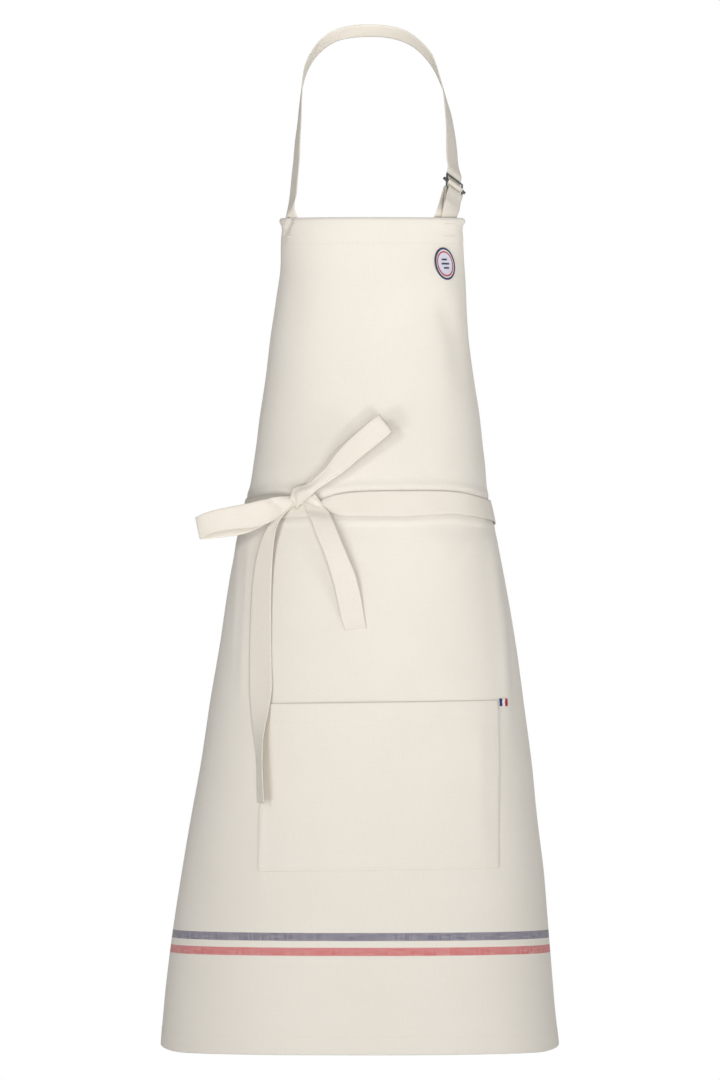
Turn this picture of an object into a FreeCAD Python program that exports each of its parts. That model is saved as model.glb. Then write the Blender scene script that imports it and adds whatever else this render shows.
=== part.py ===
import FreeCAD, Part
import math, os

# Bib apron of cotton canvas, stored hanging by its neck strap and tied round the waist.
# Millimetres. Origin: underside of the neck strap's crown, where it hangs. +Z up, the front faces -Y.

V = FreeCAD.Vector
os.makedirs("parts", exist_ok=True)

# ------------------------------------------------------------------ driving dimensions
CLOTH_T = 1.2          # canvas body and hems, as one layer
TAPE_W = 27.0          # waist tie width
TAPE_T = 1.0           # waist tie thickness
STRAP_W = 25.0         # neck strap width
STRAP_T = 1.2          # neck strap thickness
BIB_TOP_Z = -197.0
HEM_Z = -1098.0
SUPER_N = 2.3          # roundness of the plan sections
STRAP_SLOPE = 0.543    # the neck loop leans back by this much Y for each unit of Z
Y_TOP = -70.0          # middle of the plan section at the bib's top
Y_HEM = -62.0          # middle of the plan section at the hem
CLOTH_GAP = 0.35       # sewn cloth over cloth
TIE_B_OFF = 0.35       # inner tie above the panel
TIE_A_OFF = 1.75       # outer tie above the panel
POCKET_DEPTH = 180.0
POCKET_POUCH = 12.5    # how far the pocket's mouth stands open in the middle
POCKET_T = 0.9
BADGE_R = 17.8
WIRE_R = 1.0           # buckle frame wire
BAR_R = 1.1            # buckle cross bar
BAR_CLEAR = 0.06       # running clearance of the bar in the frame
FREE_END_TRAVEL = 60.0

# z, left x, right x, left wrap angle, right wrap angle, depth
ROWS = [
    (-197.0, -97.4, 100.6, 82.0, 74.0, 64.0),
    (-242.3, -97.4, 100.6, 83.0, 75.0, 67.0),
    (-285.6, -102.8, 102.8, 85.0, 77.5, 71.0),
    (-328.8, -109.3, 106.0, 87.0, 79.5, 75.0),
    (-372.1, -114.7, 111.4, 89.0, 81.5, 80.0),
    (-415.4, -121.2, 117.9, 91.0, 84.0, 85.0),
    (-447.8, -125.0, 121.2, 93.0, 86.0, 89.0),
    (-480.3, -129.8, 124.4, 97.0, 89.0, 93.0),
    (-501.9, -134.6, 127.1, 106.0, 98.0, 95.5),
    (-514.0, -137.4, 129.3, 118.0, 109.0, 97.0),
    (-524.0, -140.0, 131.4, 133.0, 123.0, 98.5),
    (-531.0, -142.0, 133.0, 148.0, 138.0, 99.5),
    (-560.0, -148.0, 140.0, 147.0, 137.0, 103.0),
    (-588.4, -153.6, 146.0, 146.0, 136.0, 106.0),
    (-653.3, -163.3, 156.8, 143.5, 133.0, 113.0),
    (-718.2, -174.2, 165.5, 141.0, 130.0, 120.0),
    (-783.2, -183.9, 174.2, 138.5, 127.5, 126.0),
    (-848.1, -195.8, 180.6, 136.0, 125.0, 132.0),
    (-913.0, -206.6, 188.2, 134.0, 123.0, 137.0),
    (-977.9, -216.3, 193.6, 132.0, 121.0, 141.0),
    (-1042.8, -223.9, 199.0, 130.5, 119.5, 144.0),
    (-1098.0, -228.2, 204.0, 130.0, 119.0, 146.0),
]


def interp(z, col):
    """Smooth interpolation of one column of ROWS at height z (monotone cubic)."""
    zs = [r[0] for r in ROWS]
    ys = [r[col] for r in ROWS]
    if z >= zs[0]:
        return ys[0] + (z - zs[0]) * (ys[1] - ys[0]) / (zs[1] - zs[0])
    if z <= zs[-1]:
        return ys[-1]
    k = 0
    while not (zs[k] >= z >= zs[k + 1]):
        k += 1

    def slope(i):
        if i == 0:
            return (ys[1] - ys[0]) / (zs[1] - zs[0])
        if i == len(zs) - 1:
            return (ys[-1] - ys[-2]) / (zs[-1] - zs[-2])
        d0 = (ys[i] - ys[i - 1]) / (zs[i] - zs[i - 1])
        d1 = (ys[i + 1] - ys[i]) / (zs[i + 1] - zs[i])
        if d0 * d1 <= 0:
            return 0.0
        return 2 * d0 * d1 / (d0 + d1)

    h = zs[k + 1] - zs[k]
    u = (z - zs[k]) / h
    m0, m1 = slope(k) * h, slope(k + 1) * h
    return ((2 * u**3 - 3 * u**2 + 1) * ys[k] + (u**3 - 2 * u**2 + u) * m0
            + (-2 * u**3 + 3 * u**2) * ys[k + 1] + (u**3 - u**2) * m1)


def radius(th, a, b):
    s, c = abs(math.sin(th)), abs(math.cos(th))
    return ((s / a) ** SUPER_N + (c / b) ** SUPER_N) ** (-1.0 / SUPER_N)


_cache = {}


def section(z):
    """a, b, x0, y0, left angle, right angle of the plan section at height z."""
    key = round(z, 3)
    if key in _cache:
        return _cache[key]
    xl, xr = interp(z, 1), interp(z, 2)
    tl, tr = math.radians(interp(z, 3)), math.radians(interp(z, 4))
    b = interp(z, 5)

    def reach(th, a):
        return a if th >= math.pi / 2 else radius(th, a, b) * math.sin(th)

    lo, hi = 30.0, 400.0
    for _ in range(60):
        a = 0.5 * (lo + hi)
        if reach(tl, a) + reach(tr, a) < xr - xl:
            lo = a
        else:
            hi = a
    x0 = xl + reach(tl, a)
    f = (BIB_TOP_Z - z) / (BIB_TOP_Z - HEM_Z)
    y0 = Y_TOP + (Y_HEM - Y_TOP) * f
    _cache[key] = (a, b, x0, y0, tl, tr)
    return _cache[key]


def surf(th, z, off=0.0):
    """Point on the outer face of the canvas at plan angle th, raised by off along the plan normal."""
    a, b, x0, y0, _, _ = section(z)
    r = radius(th, a, b)
    x, y = r * math.sin(th), -r * math.cos(th)
    nx = math.copysign((abs(x) / a) ** (SUPER_N - 1) / a, x)
    ny = math.copysign((abs(y) / b) ** (SUPER_N - 1) / b, y)
    ln = math.hypot(nx, ny)
    return V(x0 + x + off * nx / ln, y0 + y + off * ny / ln, z)


def plan_normal(th, z):
    p, q = surf(th, z, 0.0), surf(th, z, 1.0)
    return q.sub(p)


def angle_at_x(x, z):
    """Plan angle of the front of the canvas at a given x."""
    lo, hi = -math.pi / 2, math.pi / 2
    for _ in range(50):
        m = 0.5 * (lo + hi)
        if surf(m, z).x < x:
            lo = m
        else:
            hi = m
    return 0.5 * (lo + hi)


def save(name, shape):
    for s in shape.Solids:
        if not s.isValid() or s.Volume <= 0:
            raise RuntimeError(name + " is not a valid solid")
    shape.exportStep("parts/%s.step" % name)
    bb = shape.BoundBox
    print("%-18s solids %2d  vol %9.1f  x %7.1f..%7.1f  y %7.1f..%7.1f  z %8.1f..%8.1f" % (
        name, len(shape.Solids), shape.Volume, bb.XMin, bb.XMax, bb.YMin, bb.YMax, bb.ZMin, bb.ZMax))


def tri(a, b, c):
    return Part.Face(Part.makePolygon([a, b, c, a]))


def solid_from_rings(rings):
    """Closed solid from a list of rings of points, each ring a closed section, ends capped."""
    faces = []
    m = len(rings[0])
    for r0, r1 in zip(rings[:-1], rings[1:]):
        for i in range(m):
            j = (i + 1) % m
            faces.append(tri(r0[i], r0[j], r1[i]))
            faces.append(tri(r0[j], r1[j], r1[i]))
    for ring in (rings[0], rings[-1]):
        for i in range(1, m - 1):
            faces.append(tri(ring[0], ring[i], ring[i + 1]))
    sh = Part.makeShell(faces)
    so = Part.makeSolid(sh)
    if so.Volume < 0:
        so.reverse()
    return so


def ribbon(centres, widths, width, thick):
    """Thin tape: centre points, one width direction each. The thickness is square to both."""
    rings = []
    n = len(centres)
    for i in range(n):
        t = centres[min(i + 1, n - 1)].sub(centres[max(i - 1, 0)])
        t.normalize()
        w = V(widths[i])
        w = w.sub(V(t).multiply(w.dot(t)))
        w.normalize()
        nn = t.cross(w)
        nn.normalize()
        hw = width[i] / 2 if isinstance(width, (list, tuple)) else width / 2
        c = centres[i]
        a, b = V(w).multiply(hw), V(nn).multiply(thick / 2)
        rings.append([c.sub(a).sub(b), c.add(a).sub(b), c.add(a).add(b), c.sub(a).add(b)])
    return solid_from_rings(rings)


def skin(th0, th1, z0, z1, off_fn, thick, nu, nv):
    """Patch of cloth on the canvas between two angles (functions of z) and two heights, off_fn(u, v) above it."""
    rings = []
    for j in range(nv + 1):
        v = j / nv
        z = z0 + (z1 - z0) * v
        a0, a1 = th0(z), th1(z)
        outer, inner = [], []
        for i in range(nu + 1):
            u = i / nu
            th = a0 + (a1 - a0) * u
            o = off_fn(u, v)
            outer.append(surf(th, z, o + thick))
            inner.append(surf(th, z, o))
        rings.append(outer + inner[::-1])
    m = len(rings[0])
    faces = []
    for r0, r1 in zip(rings[:-1], rings[1:]):
        for i in range(m):
            j = (i + 1) % m
            faces.append(tri(r0[i], r0[j], r1[i]))
            faces.append(tri(r0[j], r1[j], r1[i]))
    half = m // 2
    for ring in (rings[0], rings[-1]):
        for i in range(half - 1):
            k, l = m - 1 - i, m - 2 - i
            faces.append(tri(ring[i], ring[i + 1], ring[k]))
            faces.append(tri(ring[i + 1], ring[l], ring[k]))
    so = Part.makeSolid(Part.makeShell(faces))
    if so.Volume < 0:
        so.reverse()
    return so


# ------------------------------------------------------------------ the canvas body
def crescent(z, nu=24):
    a, b, x0, y0, tl, tr = section(z)
    outer, inner = [], []
    for i in range(nu + 1):
        th = -tl + (tl + tr) * i / nu
        outer.append(surf(th, z, 0.0))
        inner.append(surf(th, z, -CLOTH_T))
    co = Part.BSplineCurve()
    co.interpolate(outer)
    ci = Part.BSplineCurve()
    ci.interpolate(inner[::-1])
    return Part.Wire([co.toShape(), Part.LineSegment(outer[-1], inner[-1]).toShape(),
                      ci.toShape(), Part.LineSegment(inner[0], outer[0]).toShape()])


PANEL_Z = [-197.0, -225.0, -262.0, -300.0, -340.0, -380.0, -420.0, -455.0, -480.0, -495.0, -507.0, -517.0, -525.0, -531.0]
SKIRT_Z = [-531.0, -560.0, -600.0, -660.0, -730.0, -810.0, -890.0, -970.0, -1042.0, -1098.0]
bib = Part.makeLoft([crescent(z) for z in PANEL_Z], True, False)
skirt = Part.makeLoft([crescent(z) for z in SKIRT_Z], True, False)
panel = bib.fuse(skirt)
panel = Part.makeSolid(panel.Solids[0].Shells[0]) if len(panel.Solids) == 1 else panel
save("apron_panel", panel)

# ------------------------------------------------------------------ the pocket, its label and bartacks
PK_TOP_L, PK_TOP_R = -721.5, -718.0
PK_TOP = -719.5
PK_XL, PK_XR = -117.9, 136.3


def arc_to(th0, dist, z):
    """Angle reached from th0 by going dist round the canvas at height z."""
    step = math.copysign(math.radians(0.5), dist)
    th, left = th0, abs(dist)
    p = surf(th, z)
    while True:
        q = surf(th + step, z)
        d = q.sub(p).Length
        if d >= left:
            return th + step * left / d
        left -= d
        th += step
        p = q


def arc_between(t0, t1, z, n=60):
    s = 0.0
    p = surf(t0, z)
    for i in range(1, n + 1):
        q = surf(t0 + (t1 - t0) * i / n, z)
        s += q.sub(p).Length
        p = q
    return s


pk_l, pk_r = angle_at_x(PK_XL, PK_TOP), angle_at_x(PK_XR, PK_TOP)
PK_W = arc_between(pk_l, pk_r, PK_TOP)
pk_mid = arc_to(pk_l, PK_W / 2, PK_TOP)
print("pocket flat width %.1f, mid angle %.2f deg" % (PK_W, math.degrees(pk_mid)))


def pk_left(z):
    return arc_to(pk_mid, -PK_W / 2, z)


def pk_right(z):
    return arc_to(pk_mid, PK_W / 2, z)


def pouch(u, v):
    side = math.sin(math.pi * u) ** 0.8
    down = max(0.0, 1.0 - v) ** 1.3
    return CLOTH_GAP + POCKET_POUCH * side * down


pocket = skin(pk_left, pk_right, PK_TOP, PK_TOP - POCKET_DEPTH, pouch, POCKET_T, 20, 9)
save("front_pocket", pocket)

# three-colour tab that sticks out of the pocket's right side seam at its top corner
lab_z0, lab_z1 = -716.2, -725.4
lab = skin(lambda z: arc_to(pk_right(z), 0.6, z), lambda z: arc_to(pk_right(z), 15.6, z), lab_z0, lab_z1,
           lambda u, v: CLOTH_GAP + 0.8 * u, 0.8, 4, 2)
save("pocket_label", lab)

# the dense stitch bars at both ends of the mouth, on top of the pocket's edge
bars = []
for sgn, edge in ((1, pk_left), (-1, pk_right)):
    bars.append(skin(lambda z, e=edge, s=sgn: min(arc_to(e(z), s * 1.2, z), arc_to(e(z), s * 3.6, z)),
                     lambda z, e=edge, s=sgn: max(arc_to(e(z), s * 1.2, z), arc_to(e(z), s * 3.6, z)),
                     PK_TOP - 1.0, PK_TOP - 11.0,
                     lambda u, v: CLOTH_GAP + POCKET_T + 1.4, 0.6, 1, 2))
save("pocket_bartacks", Part.makeCompound(bars))

# ------------------------------------------------------------------ badge on the bib
BADGE_X, BADGE_Z = 80.0, -246.6
bth = angle_at_x(BADGE_X, BADGE_Z)


def disc_ring(r0, r1, off, thick, n=28):
    """Flat ring or disc (r0 = 0) laid on the canvas round the badge's centre."""
    faces = []

    def pt(r, k, o):
        ang = 2 * math.pi * k / n
        z = BADGE_Z + r * math.sin(ang)
        th = arc_to(bth, r * math.cos(ang), z) if abs(r * math.cos(ang)) > 1e-6 else bth
        return surf(th, z, o)

    for k in range(n):
        k2 = (k + 1) % n
        if r0 <= 0:
            c0, c1 = pt(0, 0, off), pt(0, 0, off + thick)
            faces.append(tri(c1, pt(r1, k, off + thick), pt(r1, k2, off + thick)))
            faces.append(tri(c0, pt(r1, k, off), pt(r1, k2, off)))
        else:
            for o in (off, off + thick):
                faces.append(tri(pt(r0, k, o), pt(r1, k, o), pt(r0, k2, o)))
                faces.append(tri(pt(r1, k, o), pt(r1, k2, o), pt(r0, k2, o)))
            faces.append(tri(pt(r0, k, off), pt(r0, k2, off), pt(r0, k, off + thick)))
            faces.append(tri(pt(r0, k2, off), pt(r0, k2, off + thick), pt(r0, k, off + thick)))
        faces.append(tri(pt(r1, k, off), pt(r1, k2, off), pt(r1, k, off + thick)))
        faces.append(tri(pt(r1, k2, off), pt(r1, k2, off + thick), pt(r1, k, off + thick)))
    so = Part.makeSolid(Part.makeShell(faces))
    if so.Volume < 0:
        so.reverse()
    return so


save("badge_patch", disc_ring(0, BADGE_R - 2.1, CLOTH_GAP, 1.0))
save("badge_rim", disc_ring(BADGE_R - 2.0, BADGE_R, CLOTH_GAP, 1.6))

# ------------------------------------------------------------------ waist ties round the body
KNOT = V(-73.0, 0.0, -498.7)
KNOT_SIZE = (23.0, 12.0, 21.0)


def lerp_table(x, table):
    if x <= table[0][0]:
        return table[0][1]
    for (x0, y0), (x1, y1) in zip(table[:-1], table[1:]):
        if x <= x1:
            u = (x - x0) / (x1 - x0)
            u = u * u * (3 - 2 * u)
            return y0 + (y1 - y0) * u
    return table[-1][1]


# centre height, offset and width of each tie against the plan angle in degrees
TIE_A_Z = [(-26, -505.0), (40, -505.5), (75, -508.0), (92, -515.0), (138, -518.0), (212, -547.0), (240, -547.5)]
TIE_A_O = [(-26, 3.2), (-5, TIE_A_OFF), (212, TIE_A_OFF), (226, CLOTH_GAP)]
TIE_A_W = [(-26, 15.0), (0, TAPE_W), (240, TAPE_W)]
TIE_B_Z = [(40, -505.0), (60, -506.0), (92, -514.0), (148, -518.0), (222, -547.0), (250, -547.5)]
TIE_B_O = [(40, 3.0), (60, TIE_B_OFF + 0.5), (150, TIE_B_OFF), (250, TIE_B_OFF)]
TIE_B_W = [(40, 15.0), (62, TAPE_W), (250, TAPE_W)]


def tie(ang0, ang1, zt, ot, wt, sign, steps):
    rings = []
    for i in range(steps + 1):
        d = ang0 + (ang1 - ang0) * i / steps
        th = math.radians(d) * sign
        zc, o, w = lerp_table(d, zt), lerp_table(d, ot), lerp_table(d, wt)
        top, bot = zc + w / 2, zc - w / 2
        rings.append([surf(th, bot, o), surf(th, top, o), surf(th, top, o + TAPE_T), surf(th, bot, o + TAPE_T)])
    return solid_from_rings(rings)


a_start = math.degrees(angle_at_x(-60.0, -505.0))
b_start = -math.degrees(angle_at_x(-86.0, -505.0))
tie_a = tie(a_start, 212 + 16, TIE_A_Z, TIE_A_O, TIE_A_W, 1, 56)
tie_b = tie(b_start, 222 + 16, TIE_B_Z, TIE_B_O, TIE_B_W, -1, 44)
save("waist_tie_a", tie_a)
save("waist_tie_b", tie_b)


def tie_length(ang0, ang1, zt, ot, sign):
    s, p = 0.0, None
    for i in range(201):
        d = ang0 + (ang1 - ang0) * i / 200
        q = surf(math.radians(d) * sign, lerp_table(d, zt), lerp_table(d, ot))
        if p is not None:
            s += q.sub(p).Length
        p = q
    return s


print("tie lengths round the body: a %.0f  b %.0f" % (
    tie_length(a_start, 228, TIE_A_Z, TIE_A_O, 1), tie_length(b_start, 238, TIE_B_Z, TIE_B_O, -1)))

# stitch boxes on the sewn ends at the two rear corners
tacks = []
for sign, end, offs in ((1, 228, TIE_A_O), (-1, 238, TIE_B_O)):
    for k in (0, 1):
        zc = -547.0 + (8.0 if k else -8.0)
        t0, t1 = math.radians(end - 9) * sign, math.radians(end - 1.5) * sign
        lo, hi = min(t0, t1), max(t0, t1)

        def over_tie(u, v, lo=lo, hi=hi, offs=offs):
            return lerp_table(abs(math.degrees(lo + (hi - lo) * u)), offs) + TAPE_T + 0.45

        tacks.append(skin(lambda z, q=lo: q, lambda z, q=hi: q, zc + 1.0, zc - 1.0, over_tie, 0.5, 6, 1))
save("tie_bartacks", Part.makeCompound(tacks))

# ------------------------------------------------------------------ the bow
kth = angle_at_x(KNOT.x, KNOT.z)
kn = plan_normal(kth, KNOT.z)
ks = surf(kth, KNOT.z, 4.4 + KNOT_SIZE[1] / 2)
KNOT.y = ks.y
KNOT.x = ks.x


def rounded_block(size, r):
    b = Part.makeBox(size[0], size[1], size[2], V(-size[0] / 2, -size[1] / 2, -size[2] / 2))
    return b.makeFillet(r, b.Edges)


knot = rounded_block(KNOT_SIZE, 4.0)
kang = math.degrees(math.atan2(kn.x, -kn.y))
knot.rotate(V(0, 0, 0), V(0, 0, 1), kang)
knot.translate(KNOT)
save("bow_knot", knot)
print("knot centre %.1f %.1f %.1f, normal angle %.1f" % (KNOT.x, KNOT.y, KNOT.z, kang))


def loop_tape(base, tip, depth_dir, gap_mid, w0, w1, bend=0.0):
    """Folded loop of tape: out along one side, round the fold and back, width square to its length."""
    ax = tip.sub(base)
    ln = ax.Length
    ax.normalize()
    dd = V(depth_dir)
    dd = dd.sub(V(ax).multiply(dd.dot(ax)))
    dd.normalize()
    wd = ax.cross(dd)
    pts = []
    half = [(0.0, 1.4), (0.12, 2.0), (0.3, 0.7 * gap_mid + 0.8), (0.55, gap_mid), (0.78, 0.8 * gap_mid), (0.93, 0.5 * gap_mid), (0.985, 0.28 * gap_mid)]
    for s, d in half:
        pts.append((s * ln, d))
    pts.append((ln, 0.0))
    for s, d in half[::-1]:
        pts.append((s * ln, -d))
    centres, widths, ws = [], [], []
    for s, d in pts:
        f = s / ln
        c = base.add(V(ax).multiply(s)).add(V(dd).multiply(d + bend * f * f))
        centres.append(c)
        widths.append(wd)
        ws.append(w0 + (w1 - w0) * min(1.0, f / 0.45))
    return ribbon(centres, widths, ws, TAPE_T)


# the upper loop stands up to the right and away from the bib; the left loop stands out to the left
UP_BASE = V(-61.0, KNOT.y - 5.0, -487.0)
UP_TIP = V(17.0, KNOT.y - 22.0, -423.5)
up_loop = loop_tape(UP_BASE, UP_TIP, V(0, -1, 0), 4.2, 14.0, 25.5)
save("bow_loop_upper", up_loop)
LF_BASE = V(-91.5, KNOT.y - 3.0, -501.5)
LF_TIP = V(-187.0, KNOT.y + 6.0, -531.5)
left_loop = loop_tape(LF_BASE, LF_TIP, V(0, -1, 0), 4.6, 14.0, 26.0)
save("bow_loop_left", left_loop)

# free ends: height, left x, right x, offset of the left edge, offset of the right edge
LONG = [(-527.5, -112.0, -92.0, 4.6, 4.6), (-551.0, -124.5, -99.5, 3.4, 3.4), (-580.0, -128.7, -104.5, 3.0, 3.0),
        (-610.0, -131.0, -107.5, 2.6, 2.6), (-636.0, -132.5, -109.3, 2.4, 2.4), (-670.0, -132.3, -108.0, 2.4, 2.4),
        (-703.0, -131.5, -107.2, 2.4, 2.6), (-722.0, -130.5, -109.0, 2.6, 8.0), (-740.0, -127.5, -112.5, 2.8, 17.5),
        (-760.0, -124.5, -116.0, 2.8, 23.5), (-783.0, -123.5, -117.5, 2.8, 26.5), (-806.0, -123.2, -117.0, 2.8, 26.5),
        (-828.0, -122.8, -116.0, 2.8, 26.0)]
SHORT = [(-516.5, -67.5, -47.5, 4.6, 4.6), (-534.0, -62.5, -39.0, 3.6, 3.6), (-561.0, -51.5, -26.0, 2.6, 2.6),
         (-588.5, -41.0, -17.0, 2.2, 2.2), (-610.0, -35.8, -13.5, 2.0, 2.0), (-627.5, -31.5, -8.0, 2.0, 2.0),
         (-641.5, -27.5, -4.6, 2.0, 2.0)]


def free_end(rows):
    rings = []
    for z, xl, xr, ol, orr in rows:
        tl_, tr_ = angle_at_x(xl, z), angle_at_x(xr, z)
        l, r = surf(tl_, z, ol), surf(tr_, z, orr)
        w = r.sub(l)
        w.normalize()
        nn = V(w.y, -w.x, 0)
        nn.normalize()
        t = V(nn).multiply(TAPE_T)
        rings.append([l, r, r.add(t), l.add(t)])
    return solid_from_rings(rings)


save("tie_end_long", free_end(LONG))
save("tie_end_short", free_end(SHORT))
for nm, rows in (("long", LONG), ("short", SHORT)):
    z = -512.5
    xm = 0.5 * (rows[0][1] + rows[0][2])
    th = angle_at_x(xm, z)
    p = surf(th, z, 4.0)
    n_ = plan_normal(th, z)
    print("hinge of %s end: %.2f %.2f %.2f   tangent %.4f %.4f 0" % (nm, p.x, p.y, p.z, -n_.y, n_.x))

# ------------------------------------------------------------------ neck strap, buckle and tab
bar_c = V(90.3, STRAP_SLOPE * -161.2, -161.2)
bv = V(0.04, 0.49, 0.87)
bv.normalize()
bn = V(0.76, -0.65, 0.0)
bn = bn.sub(V(bv).multiply(bn.dot(bv)))
bn.normalize()
bu = bv.cross(bn)
bu.normalize()


def loc(u, v, n):
    return bar_c.add(V(bu).multiply(u)).add(V(bv).multiply(v)).add(V(bn).multiply(n))


print("buckle axis u %.4f %.4f %.4f  v %.4f %.4f %.4f  n %.4f %.4f %.4f  centre %.3f %.3f %.3f" % (
    bu.x, bu.y, bu.z, bv.x, bv.y, bv.z, bn.x, bn.y, bn.z, bar_c.x, bar_c.y, bar_c.z))

# x, z and sideways share of the width direction, from the left end up over the crown to the buckle
STRAP = [
    (-87.4, -190.0, -0.36), (-84.9, -176.0, -0.34), (-82.9, -156.0, -0.31), (-81.0, -134.0, -0.29), (-79.5, -110.0, -0.24),
    (-77.6, -86.0, -0.17), (-76.4, -68.0, -0.11), (-74.6, -50.0, -0.05), (-71.6, -37.0, 0.0), (-66.0, -25.0, 0.0),
    (-57.5, -13.5, 0.0), (-47.0, -4.6, 0.0), (-35.0, 1.6, 0.0), (-19.0, 5.1, 0.0), (-2.0, 5.9, 0.0),
    (15.0, 5.2, 0.0), (30.0, 2.2, 0.0), (43.0, -3.6, 0.0), (54.5, -12.5, 0.0), (64.5, -23.5, 0.0),
    (70.5, -34.0, 0.04), (75.0, -45.0, 0.09), (79.0, -57.0, 0.16), (82.2, -70.0, 0.24), (84.6, -84.0, 0.32),
    (86.6, -102.0, 0.40), (87.6, -120.0, 0.46), (88.6, -136.0, 0.52),
]
centres, widths = [], []
for x, z, wx in STRAP:
    f = max(0.0, min(1.0, (-z - 120.0) / 75.0))
    y = STRAP_SLOPE * z
    centres.append(V(x, y, z))
    rest = math.sqrt(1 - wx * wx)
    widths.append(V(wx, 0.88 * rest, -0.48 * rest))
for v_, n_ in ((16.0, -0.4), (11.0, -1.6), (8.0, -2.0), (5.6, -1.5), (3.4, 0.2), (1.9, 1.5), (0.2, 2.05), (-1.35, 1.5),
               (-2.05, 0.2), (-1.6, -1.3), (-1.9, -2.3)):
    centres.append(loc(0, v_, n_))
    widths.append(bu)
strap = ribbon(centres, widths, STRAP_W, STRAP_T)
save("neck_strap", strap)
length = sum(q.sub(p).Length for p, q in zip(centres[:-1], centres[1:]))
print("neck strap length in the loop %.0f" % length)

# buckle frame: a closed wire loop with eyes for the cross bar
FW, FH = 30.0 / 2 - WIRE_R, 8.0


def rod(p, q, r):
    d = q.sub(p)
    return Part.makeCylinder(r, d.Length, p, d)


frame_parts = [rod(loc(-FW, FH, 0), loc(FW, FH, 0), WIRE_R), rod(loc(-FW, -FH, 0), loc(FW, -FH, 0), WIRE_R)]
for s in (-1, 1):
    frame_parts.append(rod(loc(s * FW, -FH, 0), loc(s * FW, FH, 0), WIRE_R))
    for e in (-1, 1):
        frame_parts.append(Part.makeSphere(WIRE_R, loc(s * FW, e * FH, 0)))
    frame_parts.append(rod(loc(s * FW - 1.1, 0, 0), loc(s * FW + 1.1, 0, 0), 2.1))
frame = frame_parts[0].multiFuse(frame_parts[1:])
for s in (-1, 1):
    frame = frame.cut(rod(loc(s * FW - 3, 0, 0), loc(s * FW + 3, 0, 0), BAR_R + BAR_CLEAR))
save("buckle_frame", frame)
BAR_HALF = 18.6
bar = rod(loc(-BAR_HALF, 0, 0), loc(BAR_HALF, 0, 0), BAR_R)
for s in (-1, 1):
    bar = bar.fuse(rod(loc(s * (FW + 1.4), 0, 0), loc(s * BAR_HALF, 0, 0), 1.7))
save("buckle_bar", bar)

# tab: from behind the bib up to the bottom bar, round it and back down
tab_path = [(-27.0, -0.9, -3.0), (-22.0, -1.0, -2.4), (-16.0, -1.4, -1.8), (-11.0, -2.1, -0.6), (-8.0, -2.15, -0.3), (-6.5, -1.65, -0.1), (-5.9, 0.0, 0.0),
            (-6.5, 1.65, -0.1), (-8.0, 2.15, -0.3), (-11.0, 2.1, -0.6), (-16.0, 1.4, -1.8), (-22.0, 1.0, -2.4), (-27.0, 0.9, -3.0)]
tab = ribbon([loc(du, v_, n_) for v_, n_, du in tab_path], [bu] * len(tab_path), STRAP_W, 1.1)
save("buckle_tab", tab)

# the strap's loose end, from behind the bar down behind the tab and the bib
th_f = angle_at_x(81.0, -199.0)
foot = surf(th_f, -199.0, -5.6)
fn = plan_normal(th_f, -199.0)
ft = V(-fn.y, fn.x, 0.0)
if ft.x < 0:
    ft.multiply(-1)
drop = V(-0.05, 0.02, -1.0)
drop.normalize()
free_pts = [(loc(-1.4, -5.6, -3.6), bu), (loc(-2.2, -9.0, -4.0), bu), (loc(-3.6, -15.0, -4.2), bu), (loc(-4.8, -21.0, -4.8), bu),
            (foot.add(V(drop).multiply(-7.0)).add(V(0, 1.6, 0)), V(0.60, 0.75, -0.28)), (foot, V(ft.x, ft.y, -0.10)),
            (foot.add(V(drop).multiply(9.0)), ft), (foot.add(V(drop).multiply(24.0)), ft), (foot.add(V(drop).multiply(42.0)), ft)]
free = ribbon([p for p, w in free_pts], [w for p, w in free_pts], STRAP_W - 1.0, STRAP_T)
save("strap_free_end", free)
print("free end slides along %.4f %.4f %.4f, foot %s" % (drop.x, drop.y, drop.z, foot))

# sewn ends behind the bib's two top corners
sewn_l = skin(lambda z: angle_at_x(-97.0 + 0.02 * (z + 197), z), lambda z: angle_at_x(-80.0, z), -199.0, -226.0,
              lambda u, v: -CLOTH_T - 0.35 - STRAP_T, STRAP_T, 5, 3)
save("strap_sewn_end", sewn_l)
sewn_r = skin(lambda z: angle_at_x(77.5, z), lambda z: angle_at_x(93.5, z), -199.0, -226.0,
              lambda u, v: -CLOTH_T - 0.35 - 1.8, 1.8, 5, 3)
save("tab_sewn_end", sewn_r)
st = []
for x0_, x1_ in ((-95.0, -82.0), (79.5, 91.5)):
    for zc in (-202.5, -216.0):
        st.append(skin(lambda z, q=x0_: angle_at_x(q, z), lambda z, q=x1_: angle_at_x(q, z), zc, zc - 1.6,
                       lambda u, v: 0.95, 0.5, 6, 1))
save("strap_bartacks", Part.makeCompound(st))

# ------------------------------------------------------------------ printed checks
tl = surf(angle_at_x(-88.0, -197.0), -197.0, -2.0)
tr_ = surf(angle_at_x(86.0, -197.0), -197.0, -2.0)
print("strap feet: left %.1f %.1f   right %.1f %.1f" % (tl.x, tl.y, tr_.x, tr_.y))
print("tab foot %s  strap foot %s" % (loc(-3.6, -31.5, 0), centres[0]))
for z in (-197.0, -300.0, -502.0, -560.0, -720.0, -900.0, -1098.0):
    a, b, x0, y0, l_, r_ = section(z)
    print("z %7.1f a %6.1f b %6.1f x0 %6.1f y0 %6.1f flat width %6.1f" % (z, a, b, x0, y0, arc_between(-l_, r_, z)))
print("panel centre of mass", panel.CenterOfMass if hasattr(panel, "CenterOfMass") else panel.Solids[0].CenterOfMass)
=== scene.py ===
import math

import bmesh
import bpy
import numpy as np
from mathutils import Matrix, Vector


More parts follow.
